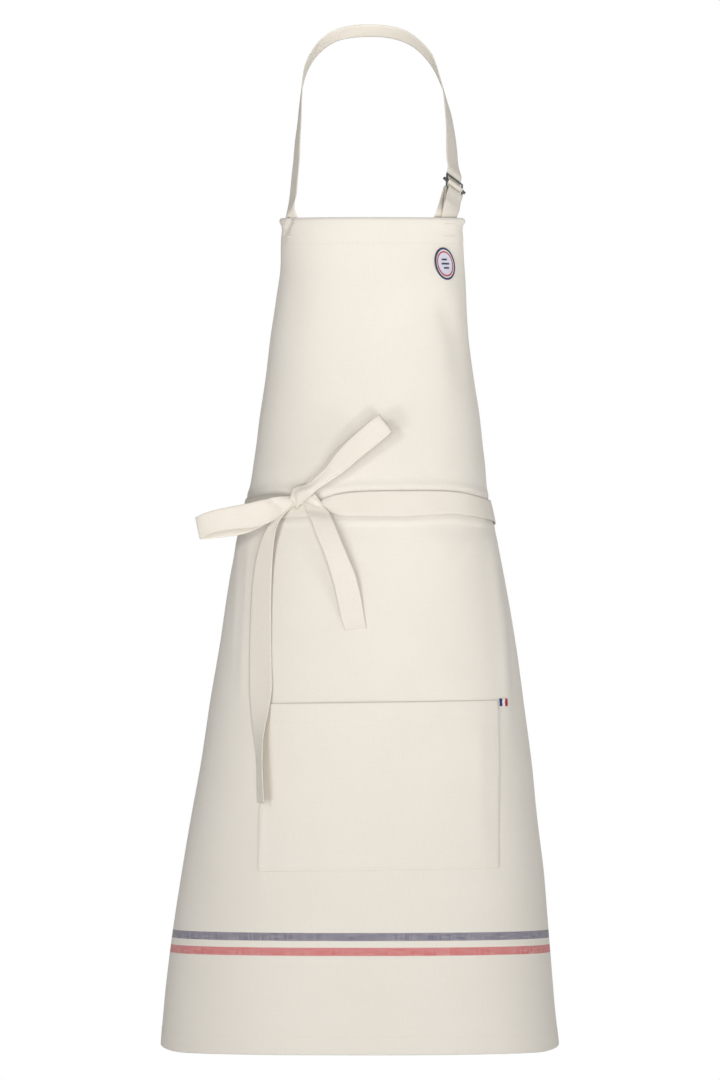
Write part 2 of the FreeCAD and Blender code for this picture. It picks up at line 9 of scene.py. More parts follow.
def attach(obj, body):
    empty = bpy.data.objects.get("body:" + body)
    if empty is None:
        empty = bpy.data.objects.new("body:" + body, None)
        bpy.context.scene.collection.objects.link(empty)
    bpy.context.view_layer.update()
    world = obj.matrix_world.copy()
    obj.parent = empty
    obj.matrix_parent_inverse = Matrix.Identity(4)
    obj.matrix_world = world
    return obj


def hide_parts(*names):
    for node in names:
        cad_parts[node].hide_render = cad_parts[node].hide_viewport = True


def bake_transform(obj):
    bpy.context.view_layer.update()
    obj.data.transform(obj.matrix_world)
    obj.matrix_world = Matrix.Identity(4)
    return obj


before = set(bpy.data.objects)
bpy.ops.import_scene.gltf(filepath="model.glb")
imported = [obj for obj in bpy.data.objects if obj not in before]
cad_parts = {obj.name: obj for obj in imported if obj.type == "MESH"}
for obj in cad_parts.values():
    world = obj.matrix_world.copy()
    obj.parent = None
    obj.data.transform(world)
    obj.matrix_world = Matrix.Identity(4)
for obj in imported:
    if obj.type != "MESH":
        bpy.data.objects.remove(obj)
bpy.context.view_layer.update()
scene = bpy.context.scene

# ------------------------------------------------------------------ camera
cam_data = bpy.data.cameras.new("camera")
cam = bpy.data.objects.new("camera", cam_data)
scene.collection.objects.link(cam)
CAM_D = 13.0
cam.location = (-0.0119, -0.107 - CAM_D, -0.5452)
cam.rotation_euler = (math.radians(90.0), 0.0, 0.0)
cam_data.sensor_fit = "AUTO"
cam_data.sensor_width = 36.0
cam_data.lens = 36.0 * CAM_D / 1.16824
cam_data.clip_start, cam_data.clip_end = 0.5, 60.0
scene.camera = cam

# ------------------------------------------------------------------ the shape of the hanging cloth (mm)
BIB_TOP_Z, HEM_Z = -197.0, -1098.0
N = 2.3
Y_TOP, Y_HEM = -70.0, -62.0
ROWS = np.array([
    (-197.0, -97.4, 100.6, 82.0, 74.0, 64.0), (-242.3, -97.4, 100.6, 83.0, 75.0, 67.0),
    (-285.6, -102.8, 102.8, 85.0, 77.5, 71.0), (-328.8, -109.3, 106.0, 87.0, 79.5, 75.0),
    (-372.1, -114.7, 111.4, 89.0, 81.5, 80.0), (-415.4, -121.2, 117.9, 91.0, 84.0, 85.0),
    (-447.8, -125.0, 121.2, 93.0, 86.0, 89.0), (-480.3, -129.8, 124.4, 97.0, 89.0, 93.0),
    (-501.9, -134.6, 127.1, 106.0, 98.0, 95.5), (-514.0, -137.4, 129.3, 118.0, 109.0, 97.0),
    (-524.0, -140.0, 131.4, 133.0, 123.0, 98.5), (-531.0, -142.0, 133.0, 148.0, 138.0, 99.5),
    (-560.0, -148.0, 140.0, 147.0, 137.0, 103.0), (-588.4, -153.6, 146.0, 146.0, 136.0, 106.0),
    (-653.3, -163.3, 156.8, 143.5, 133.0, 113.0), (-718.2, -174.2, 165.5, 141.0, 130.0, 120.0),
    (-783.2, -183.9, 174.2, 138.5, 127.5, 126.0), (-848.1, -195.8, 180.6, 136.0, 125.0, 132.0),
    (-913.0, -206.6, 188.2, 134.0, 123.0, 137.0), (-977.9, -216.3, 193.6, 132.0, 121.0, 141.0),
    (-1042.8, -223.9, 199.0, 130.5, 119.5, 144.0), (-1098.0, -228.2, 204.0, 130.0, 119.0, 146.0),
], float)


def _slopes(zs, ys):
    d = np.diff(ys) / np.diff(zs)
    m = np.zeros(len(zs))
    m[0], m[-1] = d[0], d[-1]
    for i in range(1, len(zs) - 1):
        m[i] = 0.0 if d[i - 1] * d[i] <= 0 else 2 * d[i - 1] * d[i] / (d[i - 1] + d[i])
    return m


_ZS = ROWS[:, 0]
_M = [_slopes(_ZS, ROWS[:, c]) for c in range(6)]


def row_value(z, col):
    ys = ROWS[:, col]
    if z >= _ZS[0]:
        return ys[0] + (z - _ZS[0]) * (ys[1] - ys[0]) / (_ZS[1] - _ZS[0])
    if z <= _ZS[-1]:
        return ys[-1]
    k = int(np.searchsorted(-_ZS, -z, side="right") - 1)
    k = min(max(k, 0), len(_ZS) - 2)
    h = _ZS[k + 1] - _ZS[k]
    u = (z - _ZS[k]) / h
    return ((2 * u**3 - 3 * u**2 + 1) * ys[k] + (u**3 - 2 * u**2 + u) * _M[col][k] * h
            + (-2 * u**3 + 3 * u**2) * ys[k + 1] + (u**3 - u**2) * _M[col][k + 1] * h)


def radius(th, a, b):
    s, c = np.abs(np.sin(th)), np.abs(np.cos(th))
    return ((s / a) ** N + (c / b) ** N) ** (-1.0 / N)


_sec = {}


def section(z):
    key = round(float(z), 2)
    if key in _sec:
        return _sec[key]
    xl, xr = row_value(z, 1), row_value(z, 2)
    tl, tr = math.radians(row_value(z, 3)), math.radians(row_value(z, 4))
    b = row_value(z, 5)
    lo, hi = 30.0, 400.0
    for _ in range(48):
        a = 0.5 * (lo + hi)
        rl = a if tl >= math.pi / 2 else float(radius(tl, a, b)) * math.sin(tl)
        rr = a if tr >= math.pi / 2 else float(radius(tr, a, b)) * math.sin(tr)
        if rl + rr < xr - xl:
            lo = a
        else:
            hi = a
    rl = a if tl >= math.pi / 2 else float(radius(tl, a, b)) * math.sin(tl)
    f = (BIB_TOP_Z - z) / (BIB_TOP_Z - HEM_Z)
    _sec[key] = (a, b, xl + rl, Y_TOP + (Y_HEM - Y_TOP) * f, tl, tr)
    return _sec[key]


def sect_points(th, z, off=0.0):
    """Points (mm) at plan angles th on the plan section at height z, raised by off."""
    a, b, x0, y0, _, _ = section(z)
    th = np.asarray(th, float)
    r = radius(th, a, b)
    x, y = r * np.sin(th), -r * np.cos(th)
    nx = np.sign(x) * (np.abs(x) / a) ** (N - 1) / a
    ny = np.sign(y) * (np.abs(y) / b) ** (N - 1) / b
    ln = np.hypot(nx, ny)
    return np.stack([x0 + x + off * nx / ln, y0 + y + off * ny / ln, np.full_like(x, z)], -1)


def surf(th, z, off=0.0):
    return sect_points(np.array([th]), z, off)[0]


def normal(th, z):
    n = surf(th, z, 1.0) - surf(th, z, 0.0)
    d = surf(th, z - 2.0) - surf(th, z + 2.0)
    t = np.array([-n[1], n[0], 0.0])
    m = np.cross(t, d)
    m /= np.linalg.norm(m)
    return m if m @ n > 0 else -m


def angle_at_x(x, z):
    lo, hi = -math.pi / 2, math.pi / 2
    for _ in range(34):
        m = 0.5 * (lo + hi)
        if surf(m, z)[0] < x:
            lo = m
        else:
            hi = m
    return 0.5 * (lo + hi)


_arc = {}
_TH = np.radians(np.linspace(-200, 200, 801))


def arc_table(z):
    key = round(float(z), 1)
    if key not in _arc:
        p = sect_points(_TH, key)
        d = np.concatenate([[0.0], np.cumsum(np.linalg.norm(np.diff(p, axis=0), axis=1))])
        _arc[key] = d - np.interp(0.0, _TH, d)
    return _arc[key]


def th_to_s(th, z):
    return np.interp(th, _TH, arc_table(z))


def s_to_th(s, z):
    return np.interp(s, arc_table(z), _TH)


def smooth(e0, e1, x):
    t = np.clip((np.asarray(x, float) - e0) / (e1 - e0), 0.0, 1.0)
    return t * t * (3 - 2 * t)


def bump(x, c, w):
    return np.exp(-((np.asarray(x, float) - c) / w) ** 2)


rng = np.random.default_rng(7)
_grid = {}


def noise2(x, y, seed, scale):
    """Smooth value noise, about -1 to 1."""
    if seed not in _grid:
        _grid[seed] = np.random.default_rng(seed).uniform(-1, 1, (64, 64))
    g = _grid[seed]
    fx, fy = np.asarray(x, float) / scale + 31.7, np.asarray(y, float) / scale + 57.3
    ix, iy = np.floor(fx).astype(int), np.floor(fy).astype(int)
    ux, uy = fx - ix, fy - iy
    ux, uy = ux * ux * (3 - 2 * ux), uy * uy * (3 - 2 * uy)
    g00, g10 = g[ix % 64, iy % 64], g[(ix + 1) % 64, iy % 64]
    g01, g11 = g[ix % 64, (iy + 1) % 64], g[(ix + 1) % 64, (iy + 1) % 64]
    return (g00 * (1 - ux) + g10 * ux) * (1 - uy) + (g01 * (1 - ux) + g11 * ux) * uy


def line_dist(x, z, pts):
    """Signed distance in the x-z plane from a polyline (positive to the right of it, going down), and the share along it."""
    pts = np.asarray(pts, float)
    x, z = np.asarray(x, float), np.asarray(z, float)
    best = np.full(x.shape, 1e9)
    sgn = np.zeros(x.shape)
    along = np.zeros(x.shape)
    seg = np.linalg.norm(np.diff(pts, axis=0), axis=1)
    total, done = seg.sum(), 0.0
    for i in range(len(pts) - 1):
        p, q = pts[i], pts[i + 1]
        d = q - p
        t = np.clip(((x - p[0]) * d[0] + (z - p[1]) * d[1]) / (d @ d), 0, 1)
        cx, cz = p[0] + t * d[0], p[1] + t * d[1]
        dist = np.hypot(x - cx, z - cz)
        side = np.sign(d[0] * (z - p[1]) - d[1] * (x - p[0]))
        m = dist < best
        best = np.where(m, dist, best)
        sgn = np.where(m, side, sgn)
        along = np.where(m, (done + t * seg[i]) / total, along)
        done += seg[i]
    return best * sgn, along


BELT_X = [-160.0, -134.0, -109.0, -85.0, -60.0, -41.0, -18.0, 37.0, 85.0, 104.0, 123.0, 150.0]
BELT_TOP = [-502.0, -500.1, -495.8, -497.2, -497.0, -497.0, -493.2, -491.9, -492.3, -494.8, -501.0, -504.0]
BELT_BOT = [-528.0, -525.8, -523.0, -521.0, -519.9, -519.9, -519.9, -519.9, -517.2, -518.8, -521.8, -529.0]


def relief(x, z, th):
    """How far the real cloth stands off the smooth body shape, in mm, at front-view place x, z."""
    front = smooth(1.75, 1.2, np.abs(th))
    d = np.zeros(np.shape(x))
    # the cloth blouses a little above the tie and is drawn in under it
    zt = np.interp(x, BELT_X, BELT_TOP)
    zb = np.interp(x, BELT_X, BELT_BOT)
    wob = noise2(x, z * 0.5, 3, 26.0)
    d += 1.6 * bump(z, -466.0, 20.0) * (0.6 + 0.4 * noise2(x, z, 2, 38.0))
    d += (1.75 + 0.55 * wob) * np.exp(-((z - zt - 5.2) / 4.6) ** 2)
    d += (1.55 + 0.5 * wob) * np.exp(-((z - zb + 5.2) / 4.6) ** 2)
    d -= 1.15 * smooth(0.0, 5.0, zt - z) * smooth(0.0, 5.0, z - zb)
    d += 1.2 * bump(z, -546.0, 16.0) * (0.5 + 0.5 * noise2(x, z, 4, 30.0))
    # soft fold on the right of the skirt, from the tie down to the pocket's corner
    ld, al = line_dist(x, z, [(133.0, -522.0), (140.5, -585.0), (146.5, -634.0), (151.0, -701.0), (154.0, -760.0)])
    fade = smooth(0.0, 0.12, al) * smooth(1.0, 0.7, al)
    d += 2.4 * fade * np.exp(-((ld + 5.0) / 6.5) ** 2) - 1.7 * fade * np.exp(-((ld - 4.0) / 5.0) ** 2)
    # drag fold from the right waist, down and to the left
    ld, al = line_dist(x, z, [(124.0, -524.0), (108.0, -543.0), (90.0, -560.0), (70.0, -575.0)])
    fade = smooth(0.0, 0.2, al) * smooth(1.0, 0.55, al)
    d += 1.5 * fade * np.exp(-((ld - 7.0) / 8.0) ** 2) - 1.3 * fade * np.exp(-((ld + 4.0) / 8.0) ** 2)
    # narrow vertical folds on the left of the skirt under the bow
    for xx, zt, zb, amp, w in ((-131.0, -536.0, -690.0, 1.3, 4.2), (-141.5, -536.0, -650.0, 1.0, 4.0), (-122.0, -545.0, -640.0, 0.6, 3.5)):
        xc = xx - 0.055 * (zt - z)
        d += amp * bump(x, xc, w) * smooth(zt + 6, zt - 30, z) * smooth(zb - 60, zb + 30, z)
    # faint crease below the long free end, and another on the right of the pocket
    xc = -116.5 - 0.03 * (-826.0 - z)
    d += 0.9 * np.exp(-((x - xc) / 4.5) ** 2) * smooth(-812, -840, z) * smooth(-965, -905, z)
    d += 0.9 * bump(x, 116.0 + 0.02 * (-740 - z), 9.0) * smooth(-735, -765, z) * smooth(-890, -850, z)
    # bib: gathered left corner, slack diagonal from the badge side, crease towards the tie
    ld, al = line_dist(x, z, [(-86.0, -198.0), (-90.0, -206.0), (-93.5, -215.0), (-95.0, -226.0)])
    d -= 2.2 * np.exp(-(ld / 2.6) ** 2) * smooth(1.0, 0.6, al)
    ld, al = line_dist(x, z, [(91.0, -425.0), (72.0, -455.0), (53.0, -491.0)])
    d += 0.9 * np.exp(-(ld / 7.0) ** 2) * smooth(0, 0.25, al)
    ld, al = line_dist(x, z, [(74.0, -275.0), (92.0, -330.0), (100.0, -400.0)])
    d -= 2.0 * np.exp(-(ld / 11.0) ** 2) * smooth(0.0, 0.2, al) * smooth(1.0, 0.6, al)
    # the badge's corner leans back at the top
    rr = ((x - 80.0) * 1.5) ** 2 + (z + 246.6) ** 2
    d -= 0.17 * (z + 246.6) * np.exp(-rr / 31.0 ** 2)
    # very soft unevenness of the whole cloth, and a slight wave at the hem
    d += 0.55 * noise2(x, z * 0.45, 11, 55.0) + 0.28 * noise2(x, z * 0.7, 12, 24.0)
    d += 1.6 * smooth(-1010, -1098, z) * (noise2(x, 0 * z, 13, 60.0) + 0.3)
    return d * (0.35 + 0.65 * front)


# ------------------------------------------------------------------ small mesh helpers
def new_object(name, verts, faces, uvs=None, smooth_shade=True):
    me = bpy.data.meshes.new(name)
    me.from_pydata([tuple(v) for v in verts], [], [tuple(f) for f in faces])
    me.update()
    if uvs is not None:
        lay = me.uv_layers.new(name="cloth")
        idx = np.empty(len(me.loops), int)
        me.loops.foreach_get("vertex_index", idx)
        lay.data.foreach_set("uv", np.asarray(uvs, float)[idx].astype(np.float32).ravel())
    if smooth_shade:
        me.polygons.foreach_set("use_smooth", [True] * len(me.polygons))
    ob = bpy.data.objects.new(name, me)
    scene.collection.objects.link(ob)
    return ob


def recalc(ob):
    bm = bmesh.new()
    bm.from_mesh(ob.data)
    bmesh.ops.recalc_face_normals(bm, faces=bm.faces)
    bm.to_mesh(ob.data)
    bm.free()
    ob.data.update()


def grid_shell(name, outer, inner, uv, mats=None, rim=0.0):
    """Closed cloth shell from two grids of points [rows, cols, 3] (mm). rim rounds the edge outwards by that much."""
    nr, nc = outer.shape[:2]
    verts = list(outer.reshape(-1, 3)) + list(inner.reshape(-1, 3))
    uvs = list(uv.reshape(-1, 2)) + list(uv.reshape(-1, 2))
    off = nr * nc
    faces = []
    for r in range(nr - 1):
        for c in range(nc - 1):
            a = r * nc + c
            faces.append((a, a + nc, a + nc + 1, a + 1))
            faces.append((off + a, off + a + 1, off + a + nc + 1, off + a + nc))
    loop = [(0, c) for c in range(nc)] + [(r, nc - 1) for r in range(1, nr)]
    loop += [(nr - 1, c) for c in range(nc - 2, -1, -1)] + [(r, 0) for r in range(nr - 2, 0, -1)]
    base = len(verts)
    for r, c in loop:
        mid = 0.5 * (outer[r, c] + inner[r, c])
        rr = 1 if r == 0 else (nr - 2 if r == nr - 1 else r)
        cc = 1 if c == 0 else (nc - 2 if c == nc - 1 else c)
        nb = 0.5 * (outer[rr, cc] + inner[rr, cc])
        d = mid - nb
        ln = np.linalg.norm(d)
        verts.append(mid + (d / ln * rim if ln > 1e-9 else 0))
        uvs.append(uv[r, c])
    m = len(loop)
    for i in range(m):
        j = (i + 1) % m
        a, b = loop[i][0] * nc + loop[i][1], loop[j][0] * nc + loop[j][1]
        faces.append((a, b, base + j, base + i))
        faces.append((base + i, base + j, off + b, off + a))
    ob = new_object(name, np.asarray(verts) / 1000.0, faces, uvs)
    recalc(ob)
    return ob


def join(name, objs):
    bpy.ops.object.select_all(action="DESELECT")
    for o in objs:
        o.select_set(True)
    bpy.context.view_layer.objects.active = objs[0]
    if len(objs) > 1:
        bpy.ops.object.join()
    objs[0].name = name
    objs[0].data.name = name
    return objs[0]


# ------------------------------------------------------------------ materials
def mat_new(name):
    m = bpy.data.materials.new(name)
    m.use_nodes = True
    nt = m.node_tree
    for n in list(nt.nodes):
        nt.nodes.remove(n)
    out = nt.nodes.new("ShaderNodeOutputMaterial")
    bs = nt.nodes.new("ShaderNodeBsdfPrincipled")
    nt.links.new(bs.outputs[0], out.inputs[0])
    return m, nt, bs


def nd(nt, kind, **kw):
    n = nt.nodes.new(kind)
    for k, v in kw.items():
        setattr(n, k, v)
    return n


def math_node(nt, op, a, b=None, c=None):
    n = nt.nodes.new("ShaderNodeMath")
    n.operation = op
    for i, v in enumerate((a, b, c)):
        if v is None:
            continue
        if isinstance(v, (int, float)):
            n.inputs[i].default_value = v
        else:
            nt.links.new(v, n.inputs[i])
    return n.outputs[0]


def mix_rgb(nt, fac, a, b, blend="MIX"):
    n = nt.nodes.new("ShaderNodeMix")
    n.data_type = "RGBA"
    n.blend_type = blend
    if isinstance(fac, (int, float)):
        n.inputs[0].default_value = fac
    else:
        nt.links.new(fac, n.inputs[0])
    for i, v in ((6, a), (7, b)):
        if isinstance(v, (tuple, list)):
            n.inputs[i].default_value = (*v[:3], 1.0)
        else:
            nt.links.new(v, n.inputs[i])
    return n.outputs[2]


def weave_nodes(nt, pitch_u, pitch_v, slub=1.0):
    """Plain weave from the cloth's own coordinates (metres): returns (height, slub, u, v)."""
    uvn = nd(nt, "ShaderNodeUVMap", uv_map="cloth")
    sep = nt.nodes.new("ShaderNodeSeparateXYZ")
    nt.links.new(uvn.outputs[0], sep.inputs[0])
    u, v = sep.outputs[0], sep.outputs[1]
    # yarn thickness varies slowly along each yarn
    mp = nt.nodes.new("ShaderNodeMapping")
    mp.inputs["Scale"].default_value = (60.0, 1400.0, 1.0)
    nt.links.new(uvn.outputs[0], mp.inputs[0])
    nz = nd(nt, "ShaderNodeTexNoise")
    nz.inputs["Scale"].default_value = 1.0
    nz.inputs["Detail"].default_value = 2.0
    nt.links.new(mp.outputs[0], nz.inputs["Vector"])
    mp2 = nt.nodes.new("ShaderNodeMapping")
    mp2.inputs["Scale"].default_value = (1400.0, 60.0, 1.0)
    nt.links.new(uvn.outputs[0], mp2.inputs[0])
    nz2 = nd(nt, "ShaderNodeTexNoise")
    nz2.inputs["Scale"].default_value = 1.0
    nz2.inputs["Detail"].default_value = 2.0
    nt.links.new(mp2.outputs[0], nz2.inputs["Vector"])
    a = math_node(nt, "MULTIPLY", u, 2 * math.pi / pitch_u)
    b = math_node(nt, "MULTIPLY", v, 2 * math.pi / pitch_v)
    ha = math_node(nt, "MULTIPLY", a, 0.5)
    hb = math_node(nt, "MULTIPLY", b, 0.5)
    sa, sb = math_node(nt, "SINE", ha), math_node(nt, "SINE", hb)
    ca = math_node(nt, "ABSOLUTE", sa)
    cb = math_node(nt, "ABSOLUTE", sb)
    over = math_node(nt, "MULTIPLY", math_node(nt, "COSINE", ha), math_node(nt, "COSINE", hb))
    h = math_node(nt, "ADD", math_node(nt, "MULTIPLY", ca, cb), math_node(nt, "MULTIPLY", over, 0.35))
    sl = math_node(nt, "ADD", nz.outputs[0], nz2.outputs[0])
    h = math_node(nt, "ADD", h, math_node(nt, "MULTIPLY", sl, 0.55 * slub))
    return h, sl, u, v


def cloth_material(name, base, dark, pitch=0.00062, bump_d=0.00012, stripes=False, sheen=0.25):
    m, nt, bs = mat_new(name)
    h, sl, u, v = weave_nodes(nt, pitch, pitch * 1.12)
    # colour: warm ecru with yarn-to-yarn variation and very soft large clouding
    uvn = nd(nt, "ShaderNodeUVMap", uv_map="cloth")
    big = nd(nt, "ShaderNodeTexNoise")
    big.inputs["Scale"].default_value = 9.0
    big.inputs["Detail"].default_value = 3.0
    nt.links.new(uvn.outputs[0], big.inputs["Vector"])
    fine = nd(nt, "ShaderNodeTexNoise")
    fine.inputs["Scale"].default_value = 420.0
    fine.inputs["Detail"].default_value = 4.0
    nt.links.new(uvn.outputs[0], fine.inputs["Vector"])
    f1 = math_node(nt, "MULTIPLY", math_node(nt, "SUBTRACT", sl, 1.0), 0.55)
    f2 = math_node(nt, "MULTIPLY", math_node(nt, "SUBTRACT", big.outputs[0], 0.5), 0.55)
    f3 = math_node(nt, "MULTIPLY", math_node(nt, "SUBTRACT", fine.outputs[0], 0.5), 0.5)
    f = math_node(nt, "ADD", math_node(nt, "ADD", f1, f2), math_node(nt, "ADD", f3, 0.42))
    f = nd_clamp(nt, f)
    col = mix_rgb(nt, f, base, dark)
    # small husk specks of unbleached cotton
    sp = nd(nt, "ShaderNodeTexVoronoi")
    sp.inputs["Scale"].default_value = 130.0
    nt.links.new(uvn.outputs[0], sp.inputs["Vector"])
    spk = math_node(nt, "LESS_THAN", sp.outputs["Distance"], 0.045)
    sp2 = nd(nt, "ShaderNodeTexNoise")
    sp2.inputs["Scale"].default_value = 55.0
    nt.links.new(uvn.outputs[0], sp2.inputs["Vector"])
    spk = math_node(nt, "MULTIPLY", spk, math_node(nt, "GREATER_THAN", sp2.outputs[0], 0.62))
    col = mix_rgb(nt, math_node(nt, "MULTIPLY", spk, 0.35), col, (0.36, 0.27, 0.17))
    if stripes:
        for lo, hi, tone in stripes:
            wob = math_node(nt, "MULTIPLY", math_node(nt, "SUBTRACT", fine.outputs[0], 0.5), 0.0005)
            vv = math_node(nt, "ADD", v, wob)
            inside = math_node(nt, "MULTIPLY", math_node(nt, "GREATER_THAN", vv, lo), math_node(nt, "LESS_THAN", vv, hi))
            # dyed weft over ecru warp: each warp crossing shows as a pale fleck
            warp = math_node(nt, "SINE", math_node(nt, "MULTIPLY", u, math.pi / 0.0011))
            weft = math_node(nt, "SINE", math_node(nt, "MULTIPLY", v, math.pi / 0.0011))
            chk = math_node(nt, "MULTIPLY", warp, weft)
            fl = math_node(nt, "MULTIPLY_ADD", chk, 0.30, 0.72)
            fl = math_node(nt, "ADD", fl, math_node(nt, "MULTIPLY", math_node(nt, "SUBTRACT", sl, 1.0), -0.7))
            fl = nd_clamp(nt, fl)
            dyed = mix_rgb(nt, fl, base, tone)
            col = mix_rgb(nt, inside, col, dyed)
    nt.links.new(col, bs.inputs["Base Color"])
    bs.inputs["Roughness"].default_value = 0.86
    bs.inputs["Specular IOR Level"].default_value = 0.25
    bs.inputs["Sheen Weight"].default_value = sheen
    bs.inputs["Sheen Roughness"].default_value = 0.5
    bp = nd(nt, "ShaderNodeBump")
    bp.inputs["Distance"].default_value = bump_d
    bp.inputs["Strength"].default_value = 0.8
    nt.links.new(h, bp.inputs["Height"])
    nt.links.new(bp.outputs[0], bs.inputs["Normal"])
    return m


def nd_clamp(nt, v):
    n = nt.nodes.new("ShaderNodeClamp")
    nt.links.new(v, n.inputs[0])
    return n.outputs[0]


ECRU, ECRU_D = (0.795, 0.752, 0.680), (0.720, 0.672, 0.592)
TAPE, TAPE_D = (0.800, 0.748, 0.665), (0.715, 0.660, 0.570)
NAVY, RED = (0.036, 0.032, 0.120), (0.540, 0.020, 0.036)
STRIPES = [(-0.9758, -0.9672, NAVY), (-0.9918, -0.9831, RED)]
M_CANVAS = cloth_material("canvas", ECRU, ECRU_D, stripes=STRIPES)
M_POCKET = cloth_material("canvas_pocket", ECRU, ECRU_D)
M_TAPE = cloth_material("tape", TAPE, TAPE_D, pitch=0.00055)
M_STRAP = cloth_material("strap", TAPE, TAPE_D, pitch=0.0007, bump_d=0.00003, sheen=0.1)


def thread_material(name, color, color2):
    m, nt, bs = mat_new(name)
    tc = nd(nt, "ShaderNodeTexCoord")
    wv = nd(nt, "ShaderNodeTexWave")
    wv.inputs["Scale"].default_value = 900.0
    wv.inputs["Distortion"].default_value = 1.5
    nt.links.new(tc.outputs["Object"], wv.inputs["Vector"])
    col = mix_rgb(nt, wv.outputs[1], color, color2)
    nt.links.new(col, bs.inputs["Base Color"])
    bs.inputs["Roughness"].default_value = 0.6
    bs.inputs["Sheen Weight"].default_value = 0.15
    bp = nd(nt, "ShaderNodeBump")
    bp.inputs["Distance"].default_value = 0.0001
    bp.inputs["Strength"].default_value = 0.6
    nt.links.new(wv.outputs[1], bp.inputs["Height"])
    nt.links.new(bp.outputs[0], bs.inputs["Normal"])
    return m


M_THREAD = thread_material("thread", (0.77, 0.72, 0.63), (0.66, 0.60, 0.51))
# darker copy of the same thread: painted shade for stitching that lies in shade
M_THREAD_PAINTED_SHADE = thread_material("thread_painted_shade", (0.60, 0.56, 0.50), (0.48, 0.44, 0.38))


def metal_material(name):
    m, nt, bs = mat_new(name)
    tc = nd(nt, "ShaderNodeTexCoord")
    mp = nt.nodes.new("ShaderNodeMapping")
    mp.inputs["Scale"].default_value = (400.0, 400.0, 2600.0)
    nt.links.new(tc.outputs["Object"], mp.inputs[0])
    nz = nd(nt, "ShaderNodeTexNoise")
    nz.inputs["Scale"].default_value = 1.0
    nz.inputs["Detail"].default_value = 5.0
    nt.links.new(mp.outputs[0], nz.inputs["Vector"])
    big = nd(nt, "ShaderNodeTexNoise")
    big.inputs["Scale"].default_value = 260.0
    nt.links.new(tc.outputs["Object"], big.inputs["Vector"])
    col = mix_rgb(nt, big.outputs[0], (0.20, 0.20, 0.215), (0.36, 0.355, 0.36))
    nt.links.new(col, bs.inputs["Base Color"])
    bs.inputs["Metallic"].default_value = 1.0
    ro = math_node(nt, "MULTIPLY_ADD", nz.outputs[0], 0.22, 0.20)
    nt.links.new(ro, bs.inputs["Roughness"])
    bp = nd(nt, "ShaderNodeBump")
    bp.inputs["Distance"].default_value = 0.00004
    bp.inputs["Strength"].default_value = 0.5
    nt.links.new(nz.outputs[0], bp.inputs["Height"])
    nt.links.new(bp.outputs[0], bs.inputs["Normal"])
    return m


M_METAL = metal_material("buckle_metal")

# ------------------------------------------------------------------ the apron body
PANEL_T = 0.95


def panel_rows():
    """Rows down the panel: bib rows, a dense stretch at the armhole's foot, then the skirt."""
    z = list(np.arange(-197.0, -455.0, -4.0)) + list(np.arange(-455.0, -500.0, -2.0)) + list(np.arange(-500.0, -533.0, -1.0))
    z += list(np.arange(-533.0, -1094.0, -4.5)) + [-1094.0, -1096.5, -1098.0]
    return np.array(z)


def hem_edge_z(th, z):
    """The hem rises a little where it turns to the back."""
    rise = 9.0 * smooth(1.15, 1.75, np.abs(th)) + 8.0 * smooth(1.6, 2.3, np.abs(th))
    return z + rise * smooth(-1050.0, -1098.0, z)


def panel_grid():
    rows = panel_rows()
    nc = 171
    # columns crowd a little towards both edges, for the hems
    u = np.linspace(0, 1, nc)
    u = u - 0.045 * np.sin(2 * np.pi * u)
    outer = np.zeros((len(rows), nc, 3))
    inner = np.zeros((len(rows), nc, 3))
    uv = np.zeros((len(rows), nc, 2))
    for i, z in enumerate(rows):
        a, b, x0, y0, tl, tr = section(z)
        s0, s1 = th_to_s(-tl, z), th_to_s(tr, z)
        s = s0 + (s1 - s0) * u
        th = s_to_th(s, z)
        p = sect_points(th, z)
        rel = relief(p[:, 0], np.full(nc, z), th)
        edge = np.minimum(s - s0, s1 - s)            # distance to the side edge
        top, bot = BIB_TOP_Z - z, z - HEM_Z
        # hems: cloth doubled on the inside; a shallow channel where the stitching pulls it in
        side_h = np.where(z > -534.0, 11.0, 13.0)
        hem = np.clip(np.maximum.reduce([smooth(side_h + 0.8, side_h - 0.8, edge), np.full(nc, float(smooth(31.0, 29.4, top))),
                                         np.full(nc, float(smooth(22.0, 20.5, bot)))]), 0, 1)
        chan = np.maximum.reduce([np.exp(-((edge - side_h + 1.5) / 1.1) ** 2), np.full(nc, math.exp(-((top - 28.0) / 1.6) ** 2)),
                                  np.full(nc, math.exp(-((bot - 19.0) / 1.8) ** 2))])
        o = rel - 0.22 * chan + 0.15 * hem
        zz = hem_edge_z(th, np.full(nc, z))
        # rounded bib corners
        if top < 6.0:
            cl = np.minimum(s - s0, s1 - s)
            zz = zz - np.clip(1.0 - cl / 4.5, 0, 1) ** 2 * 3.2 * (1 - top / 6.0)
        for k in range(nc):
            pass
        P = sect_points(th, z, o)
        Q = sect_points(th, z, o - PANEL_T - 0.55 * hem)
        P[:, 2] = zz
        Q[:, 2] = zz
        ear = 1.7 * math.exp(-((top - 1.5) / 4.0) ** 2) - 1.3 * math.exp(-((top - 12.0) / 6.5) ** 2)
        side = np.where(s - s0 < s1 - s, -1.0, 1.0) * ear * np.exp(-(edge / 7.0) ** 2)
        P[:, 0] += side
        Q[:, 0] += side
        outer[i], inner[i] = P, Q
        uv[i, :, 0] = s / 1000.0
        uv[i, :, 1] = z / 1000.0
    return outer, inner, uv


def panel_relief(x, z, th):
    return relief(x, z, th)


outer, inner, uv = panel_grid()
panel = grid_shell("apron_body", outer, inner, uv, rim=0.35)
panel.data.materials.append(M_CANVAS)
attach(panel, "apron")
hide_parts("apron_panel")


